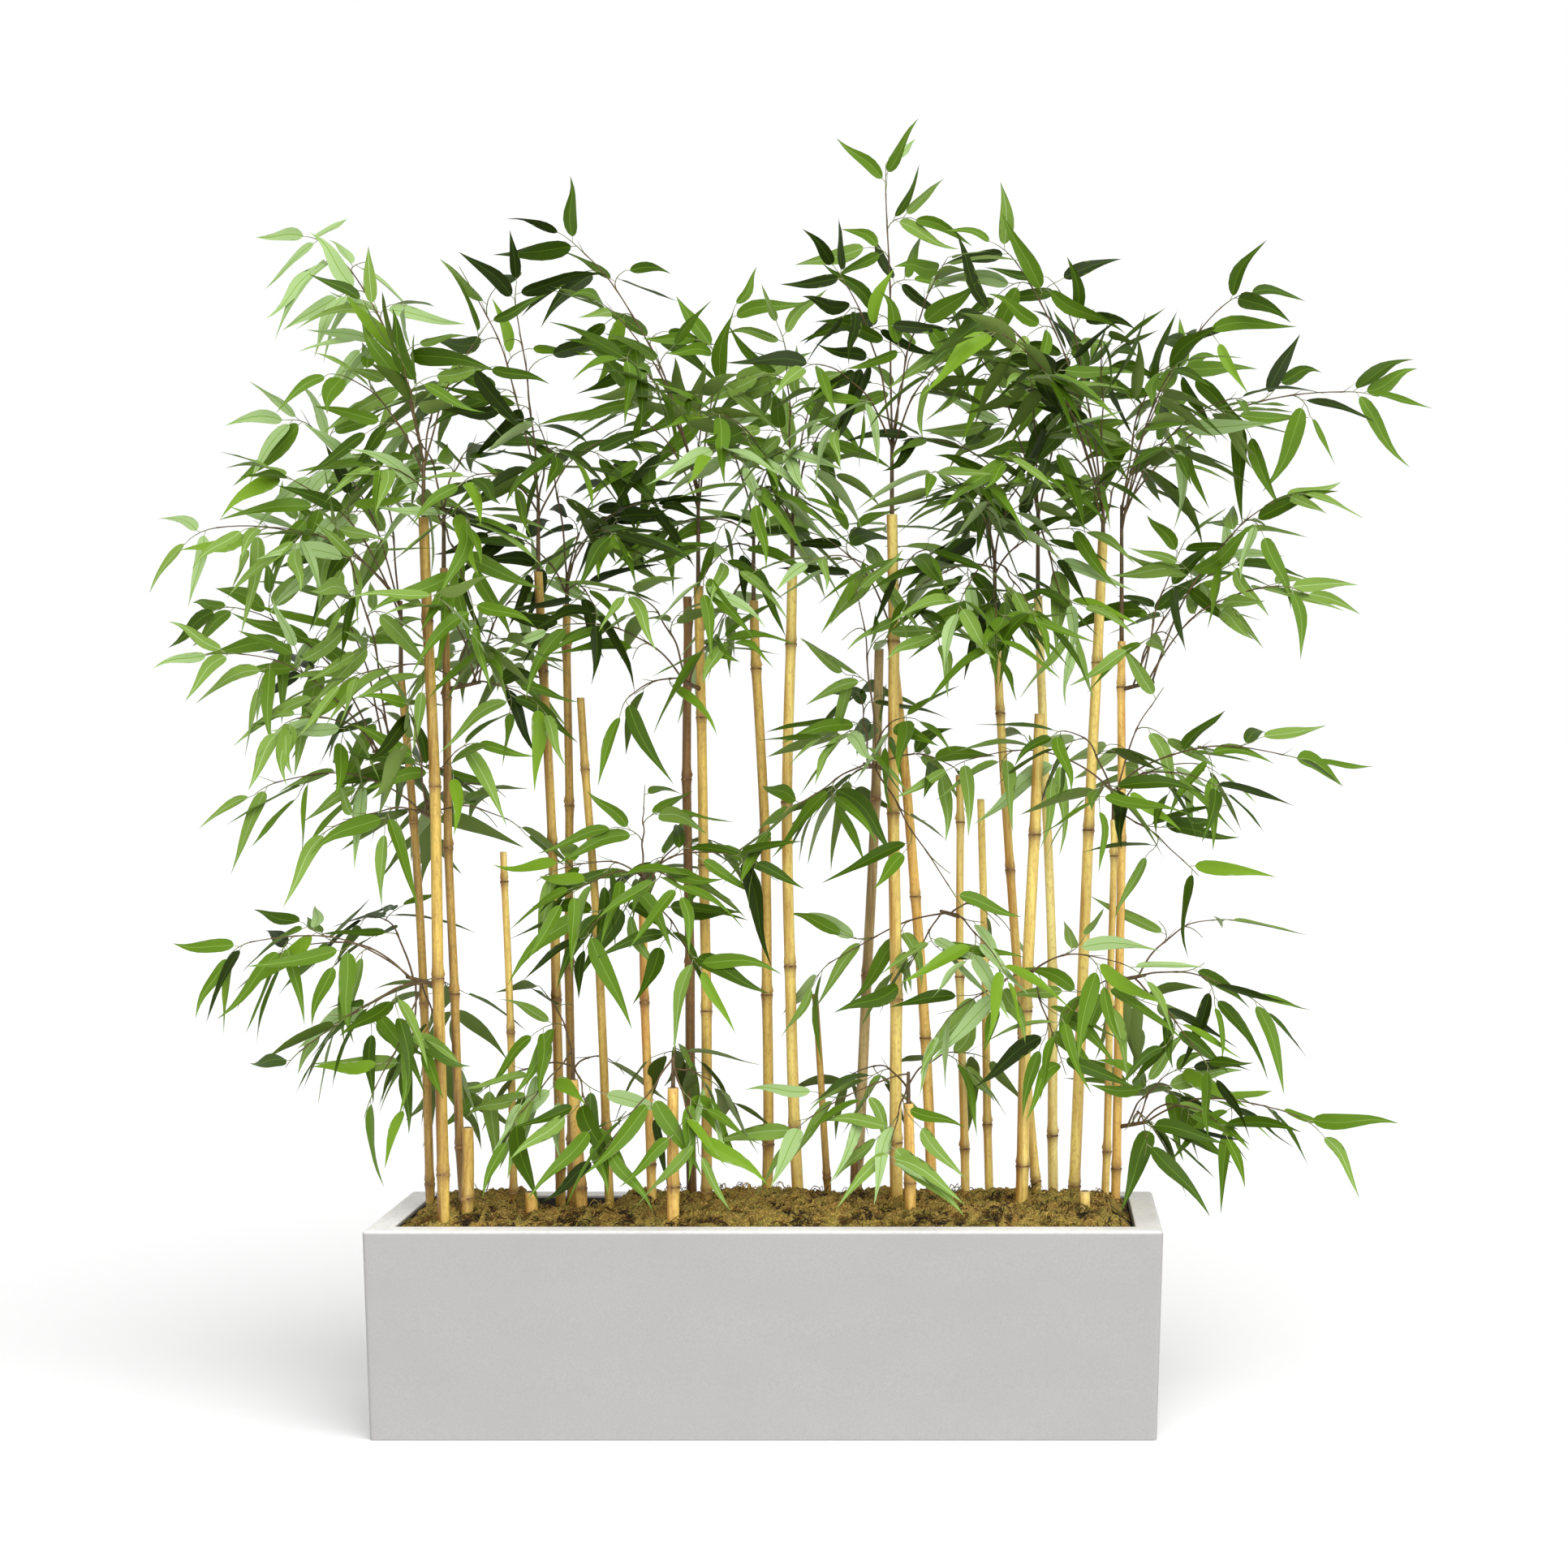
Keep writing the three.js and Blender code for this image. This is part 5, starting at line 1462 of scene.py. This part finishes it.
def leaf_shape(root, pointing, face, length, draw):
    """The points of one leaf, and their places across and along it."""
    width = length * draw(LEAF_WIDTH)
    side = np.cross(pointing, face)
    fold, droop, curl = draw(LEAF_FOLD), draw(LEAF_DROOP), draw(LEAF_CURL)
    sweep, bend, twist = draw(LEAF_SWEEP), draw(LEAF_BEND), draw(LEAF_TWIST)
    blade = root + pointing * STALK_LENGTH

    def middle_at(t):
        t = np.asarray(t, dtype=float)[..., None]
        aside = sweep * np.sin(math.pi * t) + bend * np.sin(2 * math.pi * t)
        return blade + length * (pointing * t + side * aside + (face * curl - UP * droop) * t**2)

    t = LEAF_STATIONS
    turn = (twist * t)[:, None]
    sides = side * np.cos(turn) + face * np.sin(turn)
    uprights = face * np.cos(turn) - side * np.sin(turn)
    half = np.interp(t, OUTLINE_AT, OUTLINE_WIDTH)[:, None] * width / 2
    out = half * RING_ACROSS + np.minimum(RIB_HALF_WIDTH, half * RIB_MOST) * RING_RIB
    phase = draw(ANY_PHASE)
    wave = np.sin(RIPPLE_WAVES * t[:, None] + phase + RIPPLE_SHIFT * np.sign(RING_ACROSS))
    ripple = LEAF_RIPPLE * wave * RING_ACROSS**2
    thin = np.minimum(1, half / (width / 4))
    raised = np.abs(out) * fold + ripple * thin
    lowered = thin * (LEAF_THICKNESS * RING_UNDER + RIB_THICKNESS * RING_KEEL)
    lifted = (raised - lowered)[:, :, None]
    points = middle_at(t)[:, None] + sides[:, None] * out[:, :, None] + uprights[:, None] * lifted
    stalk_out = STALK_HALF_WIDTH * (RING_ACROSS + STALK_SECTION["rib"] * RING_RIB)
    sunk = STALK_SECTION["under"] * RING_UNDER + STALK_SECTION["keel"] * RING_KEEL
    stalk_under = STALK_HALF_WIDTH * sunk
    section = side * stalk_out[:, None] - face * stalk_under[:, None]
    stalk = np.vstack([root + section, blade + section])
    across = 0.5 + out / width
    places = np.stack([across, np.broadcast_to(t[:, None], across.shape)], axis=2).reshape(-1, 2)
    stalk_places = np.tile([0.5, 0.0], (2 * RING_COUNT, 1))
    all_places = np.vstack([stalk_places, places, [[0.5, 1.0]]])
    return np.vstack([stalk, points.reshape(-1, 3), middle_at(1.0)[None]]), all_places


def held_in(root, pointing, length):
    """Turns a leaf back in that would reach out of the drawing's box."""
    for _ in range(TURNS_BACK):
        tip = root + pointing * length
        over = tip - np.clip(tip, LEAF_LOW, LEAF_HIGH)
        if not over.any():
            break
        pointing = unit(tip - over * TURN_BACK_BY - root)
    return pointing


def leaf_is_clear(root, pointing, length):
    """Whether a leaf keeps off every cane, and stays above the trough where it is over it."""
    samples = root + length * (pointing * LEAF_SAMPLES - UP * LEAF_DROOP[1] * LEAF_SAMPLES**2)
    over_trough = np.abs(samples[:, 0]) < TROUGH_LENGTH / 2 + TROUGH_MARGIN
    if np.any(over_trough & (samples[:, 2] < TROUGH_HEIGHT + RIM_CLEARANCE)):
        return False
    for cane in canes:
        top = cane["top"][2]
        beside = samples[samples[:, 2] <= top + LEAF_CLEARANCE]
        if not len(beside):
            continue
        middle = cane_axis(cane, np.minimum(beside[:, 2], top))
        away = np.hypot(beside[:, 0] - middle[:, 0], beside[:, 1] - middle[:, 1])
        if np.any(away < cane_radius(cane, middle[:, 2]) + LEAF_CLEARANCE):
            return False
    return True


def in_sky_gap(place):
    """Whether a place lies in one of the open gaps, as the screen is seen from the front."""
    nearer = VIEW_DISTANCE / (VIEW_DISTANCE + place[1])
    x = VIEW_CENTRE[0] + (place[0] - VIEW_CENTRE[0]) * nearer
    z = VIEW_CENTRE[1] + (place[2] - VIEW_CENTRE[1]) * nearer
    return any(
        math.hypot((x - middle_x) / half_width, (z - middle_z) / half_height) < 1
        for middle_x, middle_z, half_width, half_height in SKY_GAPS
    )


def leaf_look(green, draw):
    """The green of one leaf: mostly its spray's own, now and then a near one, or the bright green
    painted as lit through.
    """
    look = green
    if draw((0, 1)) > OWN_GREEN_SHARE:
        look = green + round(draw(GREEN_SPREAD))
    if draw((0, 1)) < LIT_THROUGH_SHARE:
        return len(LEAF_GREENS)
    return min(max(look, 0), len(LEAF_GREENS) - 1)


def add_fan(leaves, fan, green, draw):
    """Leaves in pairs along a side twig, and one at its end, each on its own short stalk."""
    twig = fan["twig"]
    count = round(draw(LEAVES_A_FAN))
    pairs = max((count - 1) / 2, 1)
    for number in range(count):
        last = number == count - 1
        in_pairs = (number // 2 + PAIR_STAGGER * (number % 2)) / pairs
        along = 1 if last else min(FIRST_PAIR + (1 - FIRST_PAIR) * in_pairs, 1)
        step = min(int(along * TWIG_STEPS), TWIG_STEPS - 1)
        root = twig[step] + (twig[step + 1] - twig[step]) * (along * TWIG_STEPS - step)
        onward = unit(twig[step + 1] - twig[step])
        face = unit(fan["face"] - onward * fan["face"].dot(onward))
        aside = np.cross(onward, face)
        splay = math.radians(draw(END_LEAF_SPLAY if last else PAIR_SPLAY))
        hand = 1 if number % 2 else -1
        pointing = onward * math.cos(splay) + aside * hand * math.sin(splay)
        pointing = unit(pointing + face * draw((-LEAF_TILT, LEAF_TILT)) - UP * LEAF_WEIGHT)
        pointing[2] *= draw(KEPT_RISE) if pointing[2] > 0 else 1
        spare = fan["reach"] + REACH_OVER - np.linalg.norm(root - twig[0]) - STALK_LENGTH
        length = max(min(draw(LEAF_LENGTH), spare / math.cos(splay)), SHORTEST_LEAF)
        turning, look = draw(LEAF_TURNING), leaf_look(green, draw)
        aims = [held_in(root, unit(pointing + UP * lift), length + STALK_LENGTH) for lift in AIM_LIFTS]
        aim = next((found for found in aims if leaf_is_clear(root, found, length)), None)
        if aim is None:
            continue
        kept_share = LEFT_IN_A_GAP if in_sky_gap(root + aim * length / 2) else 1
        if draw((0, 1)) > kept_share:
            continue
        turned = unit(face + aside * turning)
        turned = unit(turned - aim * turned.dot(aim))
        points, places = leaf_shape(root, aim, turned, length, draw)
        kinds = (look, UNDERSIDE_LOOK + min(look // 2, 2), min(look + 1, len(LEAF_GREENS)), STALK_LOOK)
        leaves.add(points, LEAF_FACES, [kinds[kind] for kind in LEAF_KINDS], places)


LEAF_LOW = np.array(cad_box[0]) / MM + BOX_MARGIN
LEAF_HIGH = np.array(cad_box[1]) / MM - BOX_MARGIN
LEAF_FACES, LEAF_KINDS = leaf_faces()
leaf_finishes = []
for i, colour in enumerate(LEAF_GREENS):
    leaf_finishes.append(make_leaf_finish(f"leaf_green_{i + 1}", colour, LEAF_ROUGHNESS))
leaf_finishes.append(make_leaf_finish("leaf_green_lit_through", LIT_THROUGH_GREEN, LEAF_ROUGHNESS))
for i, colour in enumerate(LEAF_UNDERSIDES):
    leaf_finishes.append(make_leaf_finish(f"leaf_underside_{i + 1}", colour, UNDERSIDE_ROUGHNESS))
leaf_finishes.append(make_leaf_finish("leaf_stalk", STALK_COLOUR, UNDERSIDE_ROUGHNESS))
for mass_index, mass in enumerate(masses):
    gathered_leaves = Gathered()
    draw_shade = seeded(SHADE_SEED + mass_index)
    for spray_number, spray in enumerate(mass["sprays"]):
        shade = spray["shade"]
        if shade is None:
            shade = mass["shade"] + draw_shade(SPRAY_SHADE_SPREAD)
        green_number = min(max(round(shade), 0), len(LEAF_GREENS) - 1)
        for fan_number, fan in enumerate(spray["fans"]):
            place_in_line = SEEDS_A_MASS * mass_index + SEEDS_A_SPRAY * spray_number + fan_number
            add_fan(gathered_leaves, fan, green_number, seeded(FAN_SEED_STEP * place_in_line))
    leaf_piece = gathered_leaves.finish(f"leaves_{mass_index + 1:02d}", leaf_finishes)
    leaf_piece.data.set_sharp_from_angle(angle=math.radians(60))
    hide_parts(f"foliage_{mass_index + 1:02d}")
